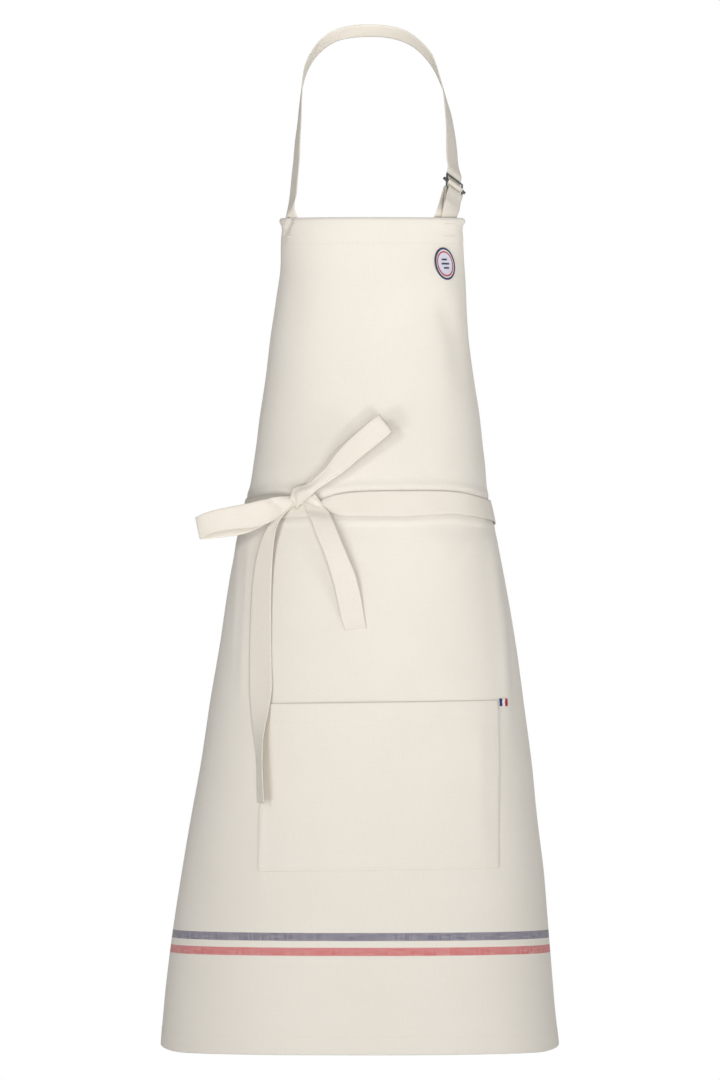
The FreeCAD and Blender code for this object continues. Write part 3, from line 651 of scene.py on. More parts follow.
# ------------------------------------------------------------------ points on the hanging cloth
def lie(th, z, off):
    """Points at plan angles th and heights z (arrays), off above the cloth as it really hangs."""
    th, z = np.atleast_1d(np.asarray(th, float)), np.atleast_1d(np.asarray(z, float))
    off = np.broadcast_to(np.asarray(off, float), th.shape)
    out = np.zeros((len(th), 3))
    for i in range(len(th)):
        t1 = np.array([th[i]])
        p = sect_points(t1, z[i])
        r = relief(p[:, 0], np.array([z[i]]), t1)[0]
        out[i] = sect_points(t1, z[i], off[i] + r)[0]
        out[i, 2] = hem_edge_z(t1, np.array([z[i]]))[0]
    return out


def lie_s(s, z, off):
    th = np.array([float(s_to_th(a, b)) for a, b in zip(s, z)])
    return lie(th, z, off), th


def normals_at(th, z):
    return np.array([normal(float(a), float(b)) for a, b in zip(th, z)])


def front_y(x, z):
    """Y of the cloth seen from the front at x, z."""
    return surf(angle_at_x(x, z), z)[1]


# ------------------------------------------------------------------ stitches
_ring = 6
_tmpl_v, _tmpl_f = [], []
for _k, (_a, _r) in enumerate(((-0.5, 0.35), (-0.32, 0.9), (0.0, 1.0), (0.32, 0.9), (0.5, 0.35))):
    for _j in range(_ring):
        _w = 2 * math.pi * _j / _ring
        _tmpl_v.append((_a, _r * math.cos(_w), _r * math.sin(_w)))
for _k in range(4):
    for _j in range(_ring):
        _j2 = (_j + 1) % _ring
        _tmpl_f.append((_k * _ring + _j, _k * _ring + _j2, (_k + 1) * _ring + _j2, (_k + 1) * _ring + _j))
_tmpl_f.append(tuple(range(_ring))[::-1])
_tmpl_f.append(tuple(4 * _ring + _j for _j in range(_ring)))
_tmpl_v = np.array(_tmpl_v)


def resample(pts, step=None, n=None):
    pts = np.asarray(pts, float)
    d = np.concatenate([[0.0], np.cumsum(np.linalg.norm(np.diff(pts, axis=0), axis=1))])
    if n is None:
        n = max(2, int(round(d[-1] / step)) + 1)
    t = np.linspace(0, d[-1], n)
    return np.stack([np.interp(t, d, pts[:, k]) for k in range(pts.shape[1])], -1), t


def stitch_object(name, lines, pitch=3.1, length=2.35, r=0.23, sink=0.05):
    """Rows of lockstitch: each line is (points, normals) along the seam."""
    P, T, NN = [], [], []
    for pts, nrm in lines:
        both = np.concatenate([pts, nrm], axis=1)
        d = np.concatenate([[0.0], np.cumsum(np.linalg.norm(np.diff(pts, axis=0), axis=1))])
        n = max(1, int(d[-1] / pitch))
        c = (np.arange(n) + 0.5) * d[-1] / n
        q = np.stack([np.interp(c, d, both[:, k]) for k in range(6)], -1)
        e = np.stack([np.interp(np.minimum(c + 0.6, d[-1]), d, both[:, k]) - np.interp(np.maximum(c - 0.6, 0), d, both[:, k]) for k in range(3)], -1)
        P.append(q[:, :3])
        NN.append(q[:, 3:])
        T.append(e)
    P, NN, T = np.concatenate(P), np.concatenate(NN), np.concatenate(T)
    T /= np.linalg.norm(T, axis=1)[:, None]
    NN -= (NN * T).sum(1)[:, None] * T
    NN /= np.linalg.norm(NN, axis=1)[:, None]
    B = np.cross(T, NN)
    tilt = 0.10
    T2 = T + tilt * B
    T2 /= np.linalg.norm(T2, axis=1)[:, None]
    v = (P - sink * NN)[:, None, :] + _tmpl_v[None, :, 0:1] * length * T2[:, None, :] + _tmpl_v[None, :, 1:2] * r * NN[:, None, :] + _tmpl_v[None, :, 2:3] * r * 1.05 * B[:, None, :]
    m = len(_tmpl_v)
    faces = []
    for k in range(len(P)):
        faces += [tuple(k * m + i for i in f) for f in _tmpl_f]
    uvs = np.zeros((len(P) * m, 2))
    ob = new_object(name, v.reshape(-1, 3) / 1000.0, faces, uvs)
    ob.data.materials.append(M_THREAD)
    return ob


# ------------------------------------------------------------------ tapes
def smooth_path(ctrl, step):
    """Centripetal Catmull-Rom through the control rows (any number of columns; the first 3 set the spacing)."""
    c = np.asarray(ctrl, float)
    c = np.vstack([2 * c[0] - c[1], c, 2 * c[-1] - c[-2]])
    out = []
    for i in range(1, len(c) - 2):
        p0, p1, p2, p3 = c[i - 1], c[i], c[i + 1], c[i + 2]
        d1 = max(np.linalg.norm(p1[:3] - p0[:3]), 1e-6) ** 0.5
        d2 = max(np.linalg.norm(p2[:3] - p1[:3]), 1e-6) ** 0.5
        d3 = max(np.linalg.norm(p3[:3] - p2[:3]), 1e-6) ** 0.5
        t0, t1, t2, t3 = 0.0, d1, d1 + d2, d1 + d2 + d3
        n = max(2, int(np.linalg.norm(p2[:3] - p1[:3]) / (step * 0.5)) + 1)
        for t in np.linspace(t1, t2, n, endpoint=False):
            a1 = (t1 - t) / (t1 - t0) * p0 + (t - t0) / (t1 - t0) * p1
            a2 = (t2 - t) / (t2 - t1) * p1 + (t - t1) / (t2 - t1) * p2
            a3 = (t3 - t) / (t3 - t2) * p2 + (t - t2) / (t3 - t2) * p3
            b1 = (t2 - t) / (t2 - t0) * a1 + (t - t0) / (t2 - t0) * a2
            b2 = (t3 - t) / (t3 - t1) * a2 + (t - t1) / (t3 - t1) * a3
            out.append((t2 - t) / (t2 - t1) * b1 + (t - t1) / (t2 - t1) * b2)
    out.append(c[-2])
    out = np.array(out)
    d = np.concatenate([[0.0], np.cumsum(np.linalg.norm(np.diff(out[:, :3], axis=0), axis=1))])
    n = max(2, int(round(d[-1] / step)) + 1)
    t = np.linspace(0, d[-1], n)
    return np.stack([np.interp(t, d, out[:, k]) for k in range(out.shape[1])], -1), t


def tape(name, e0, e1, thick=1.0, step=2.0, nw=13, rise=None, stitch=(2.4,), front=True, back=False, end_stitch=None, mat=None, seed=1, u0=0.0):
    """Flat woven tape between two edge lines (control points, mm). rise(s, v, length) lifts the surface square to it.
    The positive side of the surface is cross(along, e1 - e0)."""
    both = np.hstack([np.asarray(e0, float), np.asarray(e1, float)])
    mid = np.hstack([0.5 * (both[:, :3] + both[:, 3:]), both])
    q, s = smooth_path(mid, step)
    A, B = q[:, 3:6], q[:, 6:9]
    n = len(q)
    v = np.linspace(-1, 1, nw)
    v = np.sign(v) * np.abs(v) ** 0.85
    base = A[:, None, :] + (B - A)[:, None, :] * ((v + 1) / 2)[None, :, None]
    along = np.gradient(base, axis=0)
    across = np.gradient(base, axis=1)
    nn = np.cross(along, across)
    nn /= np.maximum(np.linalg.norm(nn, axis=2), 1e-9)[:, :, None]
    if rise is not None:
        h = rise(s[:, None], v[None, :], s[-1])
        base = base + nn * h[:, :, None]
        along = np.gradient(base, axis=0)
        across = np.gradient(base, axis=1)
        n2 = np.cross(along, across)
        nn = n2 / np.maximum(np.linalg.norm(n2, axis=2), 1e-9)[:, :, None]
    hw = 0.5 * np.linalg.norm(B - A, axis=1)
    inset = hw[:, None] * (1 - np.abs(v))[None, :]
    prof = np.full(inset.shape, thick / 2)
    for g in stitch:
        prof -= 0.16 * thick * np.exp(-((inset - g) / 0.8) ** 2)
    prof *= 1 - 0.35 * np.exp(-(inset / 0.5) ** 2)
    outer = base + nn * prof[:, :, None]
    inner = base - nn * prof[:, :, None]
    uv = np.zeros((n, nw, 2))
    uv[:, :, 0] = (v[None, :] * hw[:, None]) / 1000.0 + 0.5 + u0
    uv[:, :, 1] = (s / 1000.0)[:, None] + 0.37 * seed
    ob = grid_shell(name, outer, inner, uv, rim=0.0)
    ob.data.materials.append(mat or M_TAPE)
    lines = []

    def row(inset_mm, sgn, face):
        f = 1 - inset_mm / np.maximum(hw, inset_mm + 0.5)
        col = np.interp(sgn * f, v, np.arange(nw))
        i0 = np.clip(np.floor(col).astype(int), 0, nw - 2)
        w = (col - i0)[:, None]
        g = outer if face > 0 else inner
        idx = np.arange(n)
        return g[idx, i0] * (1 - w) + g[idx, i0 + 1] * w, (nn[idx, i0] * (1 - w) + nn[idx, i0 + 1] * w) * face

    for g in stitch:
        for sgn in (-1, 1):
            if front:
                lines.append(row(g, sgn, 1))
            if back:
                lines.append(row(g, sgn, -1))
    if end_stitch:
        # a box of stitching on the last stretch of the tape: (distance of its far side from the end, near side, inset)
        for d in end_stitch[:2]:
            k = int(np.argmin(np.abs((s[-1] - s) - d)))
            cols = [i for i in range(nw) if inset[k, i] >= end_stitch[2] * 0.9]
            lines.append((outer[k, cols], nn[k, cols]))
    return ob, lines


def gather(amp, ln, k, seed, end="start", ln2=None):
    """Lengthwise folds where tape is drawn into the knot; they die away over ln mm."""
    r = np.random.default_rng(seed)
    ph = r.uniform(0, 6.28, 3)

    def f(s, v, total):
        w = np.exp(-((s if end != "end" else total - s) / ln) ** 2)
        if end == "both":
            w = np.exp(-(s / ln) ** 2) + np.exp(-((total - s) / (ln2 or ln)) ** 2)
        g = np.cos(k * v * 1.6 + ph[0] + 0.02 * s) + 0.5 * np.cos(2.3 * k * v + ph[1] - 0.03 * s)
        slow = 0.25 * np.sin(s / 23.0 + ph[2]) * (1 - 0.4 * v * v)
        return amp * w * g * (1 - 0.25 * v * v) + slow
    return f


def finish_tape(name, ob, lines, pitch=3.1, r=0.22):
    st = stitch_object(name + "_st", lines, pitch=pitch, r=r)
    return join(name, [ob, st])


# ------------------------------------------------------------------ stitching of the body's hems
def edge_line(side, inset, z0, z1, off):
    zs = np.concatenate([np.arange(z0, -498.0, -5.0), np.arange(-498.0, -534.0, -1.0), np.arange(-534.0, z1, -6.0), [z1]])
    s, z = [], []
    for q in zs:
        a, b, x0, y0, tl, tr = section(q)
        s.append(float(th_to_s(-tl, q)) + inset if side < 0 else float(th_to_s(tr, q)) - inset)
        z.append(q)
    pts, th = lie_s(s, z, off)
    return pts, normals_at(th, z)


def level_line(z, x_in0, x_in1, off, n=120):
    a, b, x0, y0, tl, tr = section(z)
    s = np.linspace(float(th_to_s(-tl, z)) + x_in0, float(th_to_s(tr, z)) - x_in1, n)
    zz = np.full(n, float(z))
    pts, th = lie_s(s, zz, off)
    return pts, normals_at(th, zz)


hem_lines = [edge_line(-1, 9.5, -203.0, -1094.0, 0.05), edge_line(1, 9.5, -203.0, -1094.0, 0.05),
             level_line(-225.0, 3.0, 3.0, 0.05), level_line(-1079.0, 3.0, 3.0, 0.05, 240)]
hem_st = stitch_object("body_stitching", hem_lines)
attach(hem_st, "apron")

# ------------------------------------------------------------------ the pocket
PK_W = 268.3
PK_MID = math.radians(8.04)
PK_TOP0, PK_TOP1 = -721.5, -717.8
PK_DEEP = 180.0


def pocket_gap(u, v):
    mouth = 1.5 * np.sin(np.pi * np.clip(u, 0, 1)) ** 0.7 * (1 - 0.55 * smooth(0.30, 0.75, u))
    return 0.40 + mouth * np.clip(1 - v, 0, 1) ** 2.2


def pocket_point(u, v, off):
    """u across 0..1, v down 0..1 (arrays)."""
    u, v = np.asarray(u, float), np.asarray(v, float)
    zt = PK_TOP0 + (PK_TOP1 - PK_TOP0) * u
    z = zt - PK_DEEP * v
    smid = np.array([float(th_to_s(PK_MID, q)) for q in z])
    s = smid + (u - 0.5) * PK_W
    return lie_s(s, z, off + pocket_gap(u, v))


def pocket_mesh():
    nu, nv = 91, 56
    us = np.linspace(0, 1, nu)
    us = us - 0.06 * np.sin(2 * np.pi * us)
    vs = np.concatenate([np.linspace(0, 0.15, 16), np.linspace(0.15, 0.94, 26)[1:], np.linspace(0.94, 1.0, 16)[1:]])[:nv]
    outer = np.zeros((len(vs), nu, 3))
    inner = np.zeros_like(outer)
    uv = np.zeros((len(vs), nu, 2))
    for i, v in enumerate(vs):
        vv = np.full(nu, v)
        eu = np.minimum(us, 1 - us) * PK_W
        ev = v * PK_DEEP
        eb = (1 - v) * PK_DEEP
        chan = np.maximum.reduce([np.exp(-((eu - 2.6) / 0.9) ** 2), np.full(nu, math.exp(-((ev - 21.0) / 1.3) ** 2)), np.full(nu, math.exp(-((eb - 2.6) / 0.9) ** 2))])
        hem = 0.35 * (ev < 22.5)
        soft = 0.35 * noise2(us * 268, vv * 180, 21, 34.0) * np.clip(eu / 30, 0, 1)
        o, _ = pocket_point(us, vv, 0.85 + hem + soft - 0.16 * chan - 0.34 * np.exp(-(np.minimum(eu, eb) / 1.6) ** 2))
        q, _ = pocket_point(us, vv, 0.0 + soft * 0.0)
        outer[i], inner[i] = o, q
        uv[i, :, 0] = us * PK_W / 1000.0
        uv[i, :, 1] = -v * PK_DEEP / 1000.0
    ob = grid_shell("pocket", outer, inner, uv, rim=0.3)
    ob.data.materials.append(M_POCKET)
    return ob


pocket = pocket_mesh()
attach(pocket, "apron")
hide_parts("front_pocket")


def pocket_line(us, vs, off=0.86):
    p, th = pocket_point(us, vs, off)
    return p, normals_at(th, p[:, 2])


t40 = np.linspace(0, 1, 70)
in_u, in_v = 2.6 / PK_W, 2.6 / PK_DEEP
plines = [pocket_line(np.full(70, in_u), t40 * (1 - in_v)), pocket_line(np.full(70, 1 - in_u), t40 * (1 - in_v)),
          pocket_line(in_u + t40 * (1 - 2 * in_u), np.full(70, 1 - in_v)), pocket_line(t40, np.full(70, 21.0 / PK_DEEP), 1.0)]
pk_st = stitch_object("pocket_stitching", plines, r=0.15)
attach(pk_st, "apron")

# bartacks at both ends of the mouth: dense zigzag
def bartack(name_pts, normal_v, across, down, w, ln, n):
    """Zigzag satin bar centred on a point; returns one stitch line per pass."""
    lines = []
    for k in range(n):
        f = (k / (n - 1) - 0.5) * ln
        a = name_pts + down * f - across * w / 2
        b = name_pts + down * (f + ln / n * 0.5) + across * w / 2
        lines.append((np.array([a, b]), np.array([normal_v, normal_v])))
    return lines


def zigzag(points_dirs, w, r=0.3):
    lines = []
    for p, nrm, ac, dn, ln, n in points_dirs:
        lines += bartack(p, nrm, ac, dn, w, ln, n)
    P = [(np.linspace(a[0], a[1], 3), np.repeat(b[:1], 3, axis=0)) for a, b in lines]
    return stitch_object("zz", P, pitch=w * 1.05, length=w, r=r, sink=0.0)


def frame_at(th, z, off):
    p = lie(np.array([th]), np.array([z]), off)[0]
    nrm = normal(th, z)
    dn = lie(np.array([th]), np.array([z - 2.0]), off)[0] - p
    dn /= np.linalg.norm(dn)
    ac = np.cross(nrm, dn)
    ac /= np.linalg.norm(ac)
    return p, nrm, ac, dn


spots = []
for u, sg in ((2.4 / PK_W, 1), (1 - 2.4 / PK_W, -1)):
    p, th = pocket_point(np.array([u]), np.array([5.5 / PK_DEEP]), 1.35)
    _, nrm, ac, dn = frame_at(float(th[0]), float(p[0, 2]), 0.0)
    spots.append((p[0], nrm, ac, dn, 10.0, 22))
pk_bt = zigzag(spots, 2.3)
pk_bt.name = "pocket_bartack_stitches"
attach(pk_bt, "apron")
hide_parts("pocket_bartacks")

# ------------------------------------------------------------------ waist ties round the body
def lerp_cols(x, table):
    t = np.asarray(table, float)
    out = np.zeros((len(x), t.shape[1] - 1))
    for c in range(1, t.shape[1]):
        k = np.clip(np.searchsorted(t[:, 0], x, side="right") - 1, 0, len(t) - 2)
        u = np.clip((x - t[k, 0]) / (t[k + 1, 0] - t[k, 0]), 0, 1)
        m = np.gradient(t[:, c], t[:, 0])
        h = t[k + 1, 0] - t[k, 0]
        out[:, c - 1] = ((2 * u**3 - 3 * u**2 + 1) * t[k, c] + (u**3 - 2 * u**2 + u) * m[k] * h
                         + (-2 * u**3 + 3 * u**2) * t[k + 1, c] + (u**3 - u**2) * m[k + 1] * h)
    return out


def tie_edges(front_rows, back_rows, sign):
    """Rows of (degrees, top z, bottom z, offset) from the knot round to the sewn end; front rows come by x."""
    rows = []
    for x, zt, zb, off in front_rows:
        rows.append((sign * math.degrees(angle_at_x(x, 0.5 * (zt + zb))), zt, zb, off))
    return rows + back_rows


A_ROWS = tie_edges([(-56.5, -504.2, -508.0, 2.9), (-49.6, -500.5, -511.6, 2.6), (-41.0, -497.2, -516.2, 2.2), (-28.1, -494.4, -519.6, 1.9),
                    (-12.0, -492.8, -519.9, 1.75), (12.0, -492.1, -520.0, 1.75), (36.6, -491.9, -519.9, 1.75), (62.0, -491.9, -518.6, 1.75),
                    (85.1, -492.5, -517.4, 1.75), (103.5, -495.2, -518.9, 1.75), (120.0, -499.8, -522.0, 1.75)],
                   [(92.0, -502.6, -527.6, 1.75), (115.0, -505.4, -531.2, 1.75), (138.0, -507.5, -534.0, 1.75), (175.0, -519.5, -546.2, 1.75),
                    (212.0, -533.5, -560.5, 1.6), (228.0, -534.0, -561.0, 0.45)], 1)
B_ROWS = tie_edges([(-64.0, -497.5, -519.9, 1.6), (-75.0, -497.2, -520.4, 1.1), (-85.6, -497.0, -521.0, 0.95), (-97.0, -496.4, -522.2, 0.85),
                    (-108.9, -495.8, -523.1, 0.85), (-124.0, -498.2, -525.0, 0.85)],
                   [(92.0, -501.0, -527.8, 0.75), (120.0, -503.5, -530.4, 0.55), (148.0, -506.0, -533.0, 0.45), (185.0, -520.0, -547.0, 0.4),
                    (222.0, -533.5, -560.5, 0.4), (238.0, -534.2, -561.2, 0.4)], -1)
TIE_TH = 1.0


def tie_mesh(name, rows, sign, seed):
    rows = np.array(rows, float)
    d = np.linspace(rows[0, 0], rows[-1, 0], 96)
    q = lerp_cols(d, rows)
    th = np.radians(d) * sign
    top = lie(th, q[:, 0], q[:, 2] + TIE_TH / 2)
    bot = lie(th, q[:, 1], q[:, 2] + TIE_TH / 2)
    # behind the apron the tape is pulled straight, clear of the cloth's own waves
    r = gather(0.55, 26.0, 2.6, seed)

    def rise(s, v, total):
        return np.abs(r(s, v, total)) * 0.9 + 0.12 * np.sin(s / 31.0 + seed) * (1 - v * v)
    e0, e1 = (top, bot) if sign > 0 else (bot, top)
    ob, lines = tape(name, e0, e1, thick=TIE_TH, step=3.0, nw=15, rise=rise, seed=seed)
    return ob, lines


def outward(ob_lines, name, sign):
    pass


tie_a, la = tie_mesh("waist_tie_right", A_ROWS, 1, 3)
tie_a = finish_tape("waist_tie_right", tie_a, la)
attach(tie_a, "apron")
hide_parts("waist_tie_a")
tie_b, lb = tie_mesh("waist_tie_left", B_ROWS, -1, 5)
tie_b = finish_tape("waist_tie_left", tie_b, lb)
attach(tie_b, "apron")
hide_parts("waist_tie_b")

# box stitching where each tie is sewn to the rear corner
spots = []
for sign, end, off in ((1, 228.0, 0.45), (-1, 238.0, 0.4)):
    for dz in (-8.5, 8.5):
        for dd in (-7.0, -3.0):
            th = math.radians(end + dd) * sign
            p, nrm, ac, dn = frame_at(th, -547.4 + dz, off + TIE_TH + 0.1)
            spots.append((p, nrm, dn, ac, 9.0, 18))
tie_bt = zigzag(spots, 1.8)
tie_bt.name = "tie_bartack_stitches"
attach(tie_bt, "apron")
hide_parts("tie_bartacks")

# ------------------------------------------------------------------ the bow
UPPER = [
    (-81.7, -511.6, 3.0, -80.1, -512.2, 3.5), (-82.7, -505.3, 6.0, -76.9, -508.1, 7.0), (-84.7, -499.4, 8.0, -73.0, -504.7, 10.0),
    (-85.5, -494.0, 9.0, -69.2, -501.5, 12.0), (-83.6, -489.5, 10.0, -65.9, -498.9, 12.5), (-78.1, -487.0, 11.5, -63.4, -496.5, 13.0),
    (-72.7, -486.4, 13.0, -61.0, -493.9, 13.5), (-66.6, -483.8, 14.0, -57.5, -490.9, 14.0), (-59.7, -477.3, 15.5, -51.1, -486.4, 15.5),
    (-49.6, -467.7, 17.0, -40.3, -479.3, 17.0), (-39.2, -453.5, 20.0, -26.5, -469.4, 20.0), (-27.6, -440.5, 23.0, -14.1, -458.8, 23.0),
    (-11.9, -426.3, 26.0, 2.1, -445.5, 26.0), (-0.6, -416.9, 28.0, 13.5, -436.2, 28.0), (6.0, -411.9, 28.6, 20.2, -430.0, 28.6),
    (8.6, -410.0, 27.0, 23.0, -428.1, 27.0), (6.2, -411.7, 25.0, 19.3, -431.1, 25.0), (-6.5, -421.4, 22.0, 5.9, -442.5, 22.0),
    (-28.0, -439.3, 17.5, -16.2, -458.6, 17.5), (-40.7, -451.1, 14.5, -29.1, -468.3, 14.5), (-48.5, -462.5, 12.5, -37.7, -476.3, 12.5),
    (-59.3, -474.1, 10.5, -47.4, -483.3, 10.5), (-68.1, -482.1, 9.0, -58.2, -490.8, 9.0), (-74.3, -489.2, 6.0, -63.6, -496.7, 6.0)]
LEFT = [
    (-76.5, -498.9, -151.5, -76.5, -505.3, -151.5), (-84.5, -497.8, -153.0, -84.6, -507.5, -153.0), (-93.8, -498.0, -155.0, -94.3, -515.6, -155.2),
    (-101.4, -498.7, -159.5, -101.3, -522.0, -157.0), (-117.5, -501.9, -164.2, -111.0, -526.9, -162.6), (-134.4, -506.0, -164.0, -123.9, -531.2, -163.5),
    (-151.9, -509.4, -166.0, -143.3, -533.1, -166.0), (-168.1, -512.8, -165.5, -160.6, -535.3, -165.5), (-178.9, -516.0, -162.8, -172.4, -538.3, -162.8),
    (-185.8, -519.1, -159.5, -180.0, -541.9, -159.5), (-189.2, -521.0, -155.7, -184.7, -544.1, -155.7), (-185.3, -520.0, -153.2, -177.8, -544.3, -152.8),
    (-176.7, -517.2, -151.0, -169.2, -543.2, -150.5), (-160.6, -513.5, -149.5, -154.1, -541.7, -149.0), (-142.7, -510.7, -149.0, -140.1, -539.4, -148.5),
    (-128.2, -507.5, -149.0, -127.2, -535.1, -148.5), (-113.2, -503.2, -149.0, -114.2, -529.0, -149.0), (-98.1, -501.0, -149.5, -99.2, -520.4, -149.5),
    (-85.2, -499.9, -150.0, -86.2, -510.7, -150.0), (-76.5, -501.0, -150.0, -76.5, -507.5, -150.0)]
LONG = [
    (-77.6, -497.8, 4.0, -74.4, -505.3, 4.0), (-84.3, -501.0, 6.5, -80.8, -507.7, 7.0), (-91.6, -506.9, 10.0, -90.0, -513.9, 10.0),
    (-98.5, -513.1, 15.0, -96.1, -520.9, 13.0), (-105.6, -521.8, 18.0, -100.8, -529.6, 16.0), (-112.1, -532.2, 17.5, -103.3, -538.2, 16.0),
    (-119.2, -547.7, 13.0, -105.2, -551.1, 12.0), (-124.2, -566.7, 8.5, -106.5, -568.9, 8.0), (-127.6, -590.4, 5.5, -107.3, -591.0, 5.2),
    (-129.8, -620.6, 4.0, -107.8, -620.6, 3.8), (-131.0, -652.9, 3.0, -107.8, -652.9, 3.0), (-131.5, -678.8, 2.6, -107.3, -678.8, 2.8),
    (-131.3, -702.5, 2.5, -106.7, -702.5, 3.6), (-130.6, -717.5, 2.5, -108.2, -717.5, 5.5), (-129.5, -731.5, 2.6, -110.8, -731.5, 9.0),
    (-128.0, -745.6, 2.7, -113.8, -745.6, 14.0), (-125.9, -760.6, 2.8, -116.2, -760.6, 19.0), (-123.9, -777.9, 2.8, -117.0, -777.9, 22.5),
    (-123.1, -799.4, 2.8, -116.8, -799.4, 24.0), (-122.9, -814.5, 2.8, -116.0, -814.5, 24.0), (-122.6, -827.4, 2.8, -115.1, -827.4, 24.0)]
SHORT = [
    (-73.3, -499.9, 4.0, -59.3, -500.5, 4.0), (-72.0, -505.7, 5.0, -52.3, -507.9, 5.0), (-70.5, -513.3, 6.5, -45.3, -514.6, 7.0),
    (-65.8, -521.9, 8.5, -41.2, -523.8, 9.5), (-58.2, -541.3, 10.2, -34.3, -540.7, 11.5), (-49.8, -562.0, 9.8, -25.9, -561.1, 11.0),
    (-42.7, -583.7, 7.0, -17.5, -581.6, 8.2), (-37.8, -603.4, 4.2, -12.1, -601.2, 5.0), (-33.2, -625.3, 2.2, -8.2, -622.5, 2.4),
    (-30.6, -634.0, 1.7, -6.5, -631.2, 1.7), (-28.5, -642.8, 1.4, -5.0, -640.2, 1.4)]
WRAP = [
    (-73.3, -497.8, 6.0, -77.6, -505.3, 6.0), (-66.8, -495.4, 8.5, -71.6, -504.0, 8.8), (-62.3, -494.5, 9.0, -65.2, -506.0, 9.8),
    (-58.2, -498.6, 8.0, -60.4, -508.1, 8.4), (-54.6, -503.2, 4.8, -56.5, -509.0, 5.0), (-50.7, -507.5, 2.4, -52.8, -511.3, 2.4)]


def by_depth(rows):
    """Rows given as x, z and the distance in front of the cloth, for both edges."""
    e0, e1 = [], []
    for xa, za, da, xb, zb, db in rows:
        e0.append((xa, front_y(xa, za) - da, za))
        e1.append((xb, front_y(xb, zb) - db, zb))
    return e0, e1


def by_normal(rows):
    """Same, with the distance square to the cloth as it hangs."""
    e0, e1 = [], []
    for xa, za, da, xb, zb, db in rows:
        for (x, z, o), e in (((xa, za, da), e0), ((xb, zb, db), e1)):
            th = angle_at_x(x, z)
            p = lie(np.array([th]), np.array([z]), o)[0]
            n = normal(th, z)
            e.append(tuple(p - n * 0 + np.array([x - p[0], 0.0, 0.0])))
    return e0, e1


def knot_rise(s, v, total):
    # the band over the knot is full and rounded, then the loop runs flat; the fold at the tip is crisp
    puff = 3.6 * np.exp(-((s - 22.0) / 13.0) ** 2) * np.cos(v * 1.35)
    folds = 0.55 * np.exp(-((s - 34.0) / 20.0) ** 2) * np.cos(3.1 * v + 0.9) + 0.35 * np.exp(-((s - 20.0) / 10.0) ** 2) * np.cos(6.0 * v)
    back = 0.5 * np.exp(-((total - s) / 24.0) ** 2) * np.cos(3.6 * v)
    belly = 0.5 * np.sin(np.clip((s - 40.0) / (total - 60.0), 0, 1) * 2 * np.pi) * (1 - v * v)
    return puff + folds + back + belly


e0, e1 = by_depth(UPPER)
up, lu = tape("bow_upper", e1, e0, thick=0.95, step=1.6, nw=15, rise=knot_rise, seed=7, back=True)
up = finish_tape("bow_upper_loop_cloth", up, lu)
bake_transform(up)
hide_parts("bow_loop_upper")


def left_rise(s, v, total):
    g = 0.9 * np.exp(-((s - 16.0) / 20.0) ** 2) * np.cos(2.6 * v + 0.4) + 0.7 * np.exp(-((total - s) / 22.0) ** 2) * np.cos(2.9 * v)
    # a slanting crease where the tape turns in to the knot
    cre = -1.7 * np.exp(-((s - (24.0 - 11.0 * v)) / 5.0) ** 2)
    return g + cre + 0.25 * np.sin(s / 19.0)


e0 = [(a, y0_, b) for a, b, y0_, c, d, y1_ in LEFT]
e1 = [(c, y1_, d) for a, b, y0_, c, d, y1_ in LEFT]
lf, ll = tape("bow_left", e0, e1, thick=0.95, step=1.8, nw=15, rise=lambda s, v, t: left_rise(s, v, t), seed=9, back=True)
lf = finish_tape("bow_left_loop_cloth", lf, ll)
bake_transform(lf)
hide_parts("bow_loop_left")

e0, e1 = by_normal(LONG)
lg, l1 = tape("tail_long", e1, e0, thick=1.0, step=2.0, nw=15, rise=gather(0.55, 38.0, 2.4, 4), seed=11, back=True, end_stitch=(2.5, 15.0, 2.4))
lg = finish_tape("long_free_end", lg, l1)
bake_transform(lg)
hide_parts("tie_end_long")

e0, e1 = by_normal(SHORT)


def short_rise(s, v, total):
    g = 0.5 * np.exp(-(s / 26.0) ** 2) * np.cos(2.7 * v + 0.6)
    end = 0.45 * smooth(17.0, 15.0, total - s)
    return g + end + 0.35 * np.sin(s / 21.0 + 0.6) * (1 - 0.5 * v * v)


sh, l2 = tape("tail_short", e1, e0, thick=1.0, step=1.6, nw=15, rise=short_rise, seed=13, end_stitch=(2.6, 14.6, 2.4))
sh = finish_tape("short_free_end", sh, l2)
# the short free end's stitching gets the darker thread copy: painted shade, not a different thread
for k_, m_ in enumerate(sh.data.materials):
    if m_ and m_.name.startswith("thread"):
        sh.data.materials[k_] = M_THREAD_PAINTED_SHADE
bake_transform(sh)
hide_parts("tie_end_short")

e0, e1 = by_depth(WRAP)
wr, l3 = tape("knot_wrap", e1, e0, thick=1.0, step=1.2, nw=13, rise=lambda s, v, t: 1.3 * np.sin(np.pi * np.clip(s / t, 0, 1)) * np.cos(1.3 * v) + 0.25 * np.cos(5 * v), seed=15)
bpy.ops.mesh.primitive_uv_sphere_add(segments=48, ring_count=28, radius=1.0)
core = bpy.context.active_object
core.name = "knot_core"
co = np.empty(len(core.data.vertices) * 3, np.float32)
core.data.vertices.foreach_get("co", co)
co = co.reshape(-1, 3).astype(float)
kx, kz = -75.5, -498.5
kd = front_y(kx, kz)
wob = 1 + 0.06 * np.sin(5 * co[:, 0] + 3 * co[:, 2]) + 0.05 * np.cos(7 * co[:, 2] - 2 * co[:, 0])
co = co * wob[:, None] * np.array([11.5, 4.0, 8.6]) + np.array([kx, kd - 5.6, kz])
core.data.vertices.foreach_set("co", (co / 1000.0).astype(np.float32).ravel())
core.data.uv_layers[0].name = "cloth"
lay = core.data.uv_layers["cloth"]
idx = np.empty(len(core.data.loops), int)
core.data.loops.foreach_get("vertex_index", idx)
lay.data.foreach_set("uv", (co[idx][:, [0, 2]] / 1000.0).astype(np.float32).ravel())
core.data.polygons.foreach_set("use_smooth", [True] * len(core.data.polygons))
core.data.materials.append(M_TAPE)
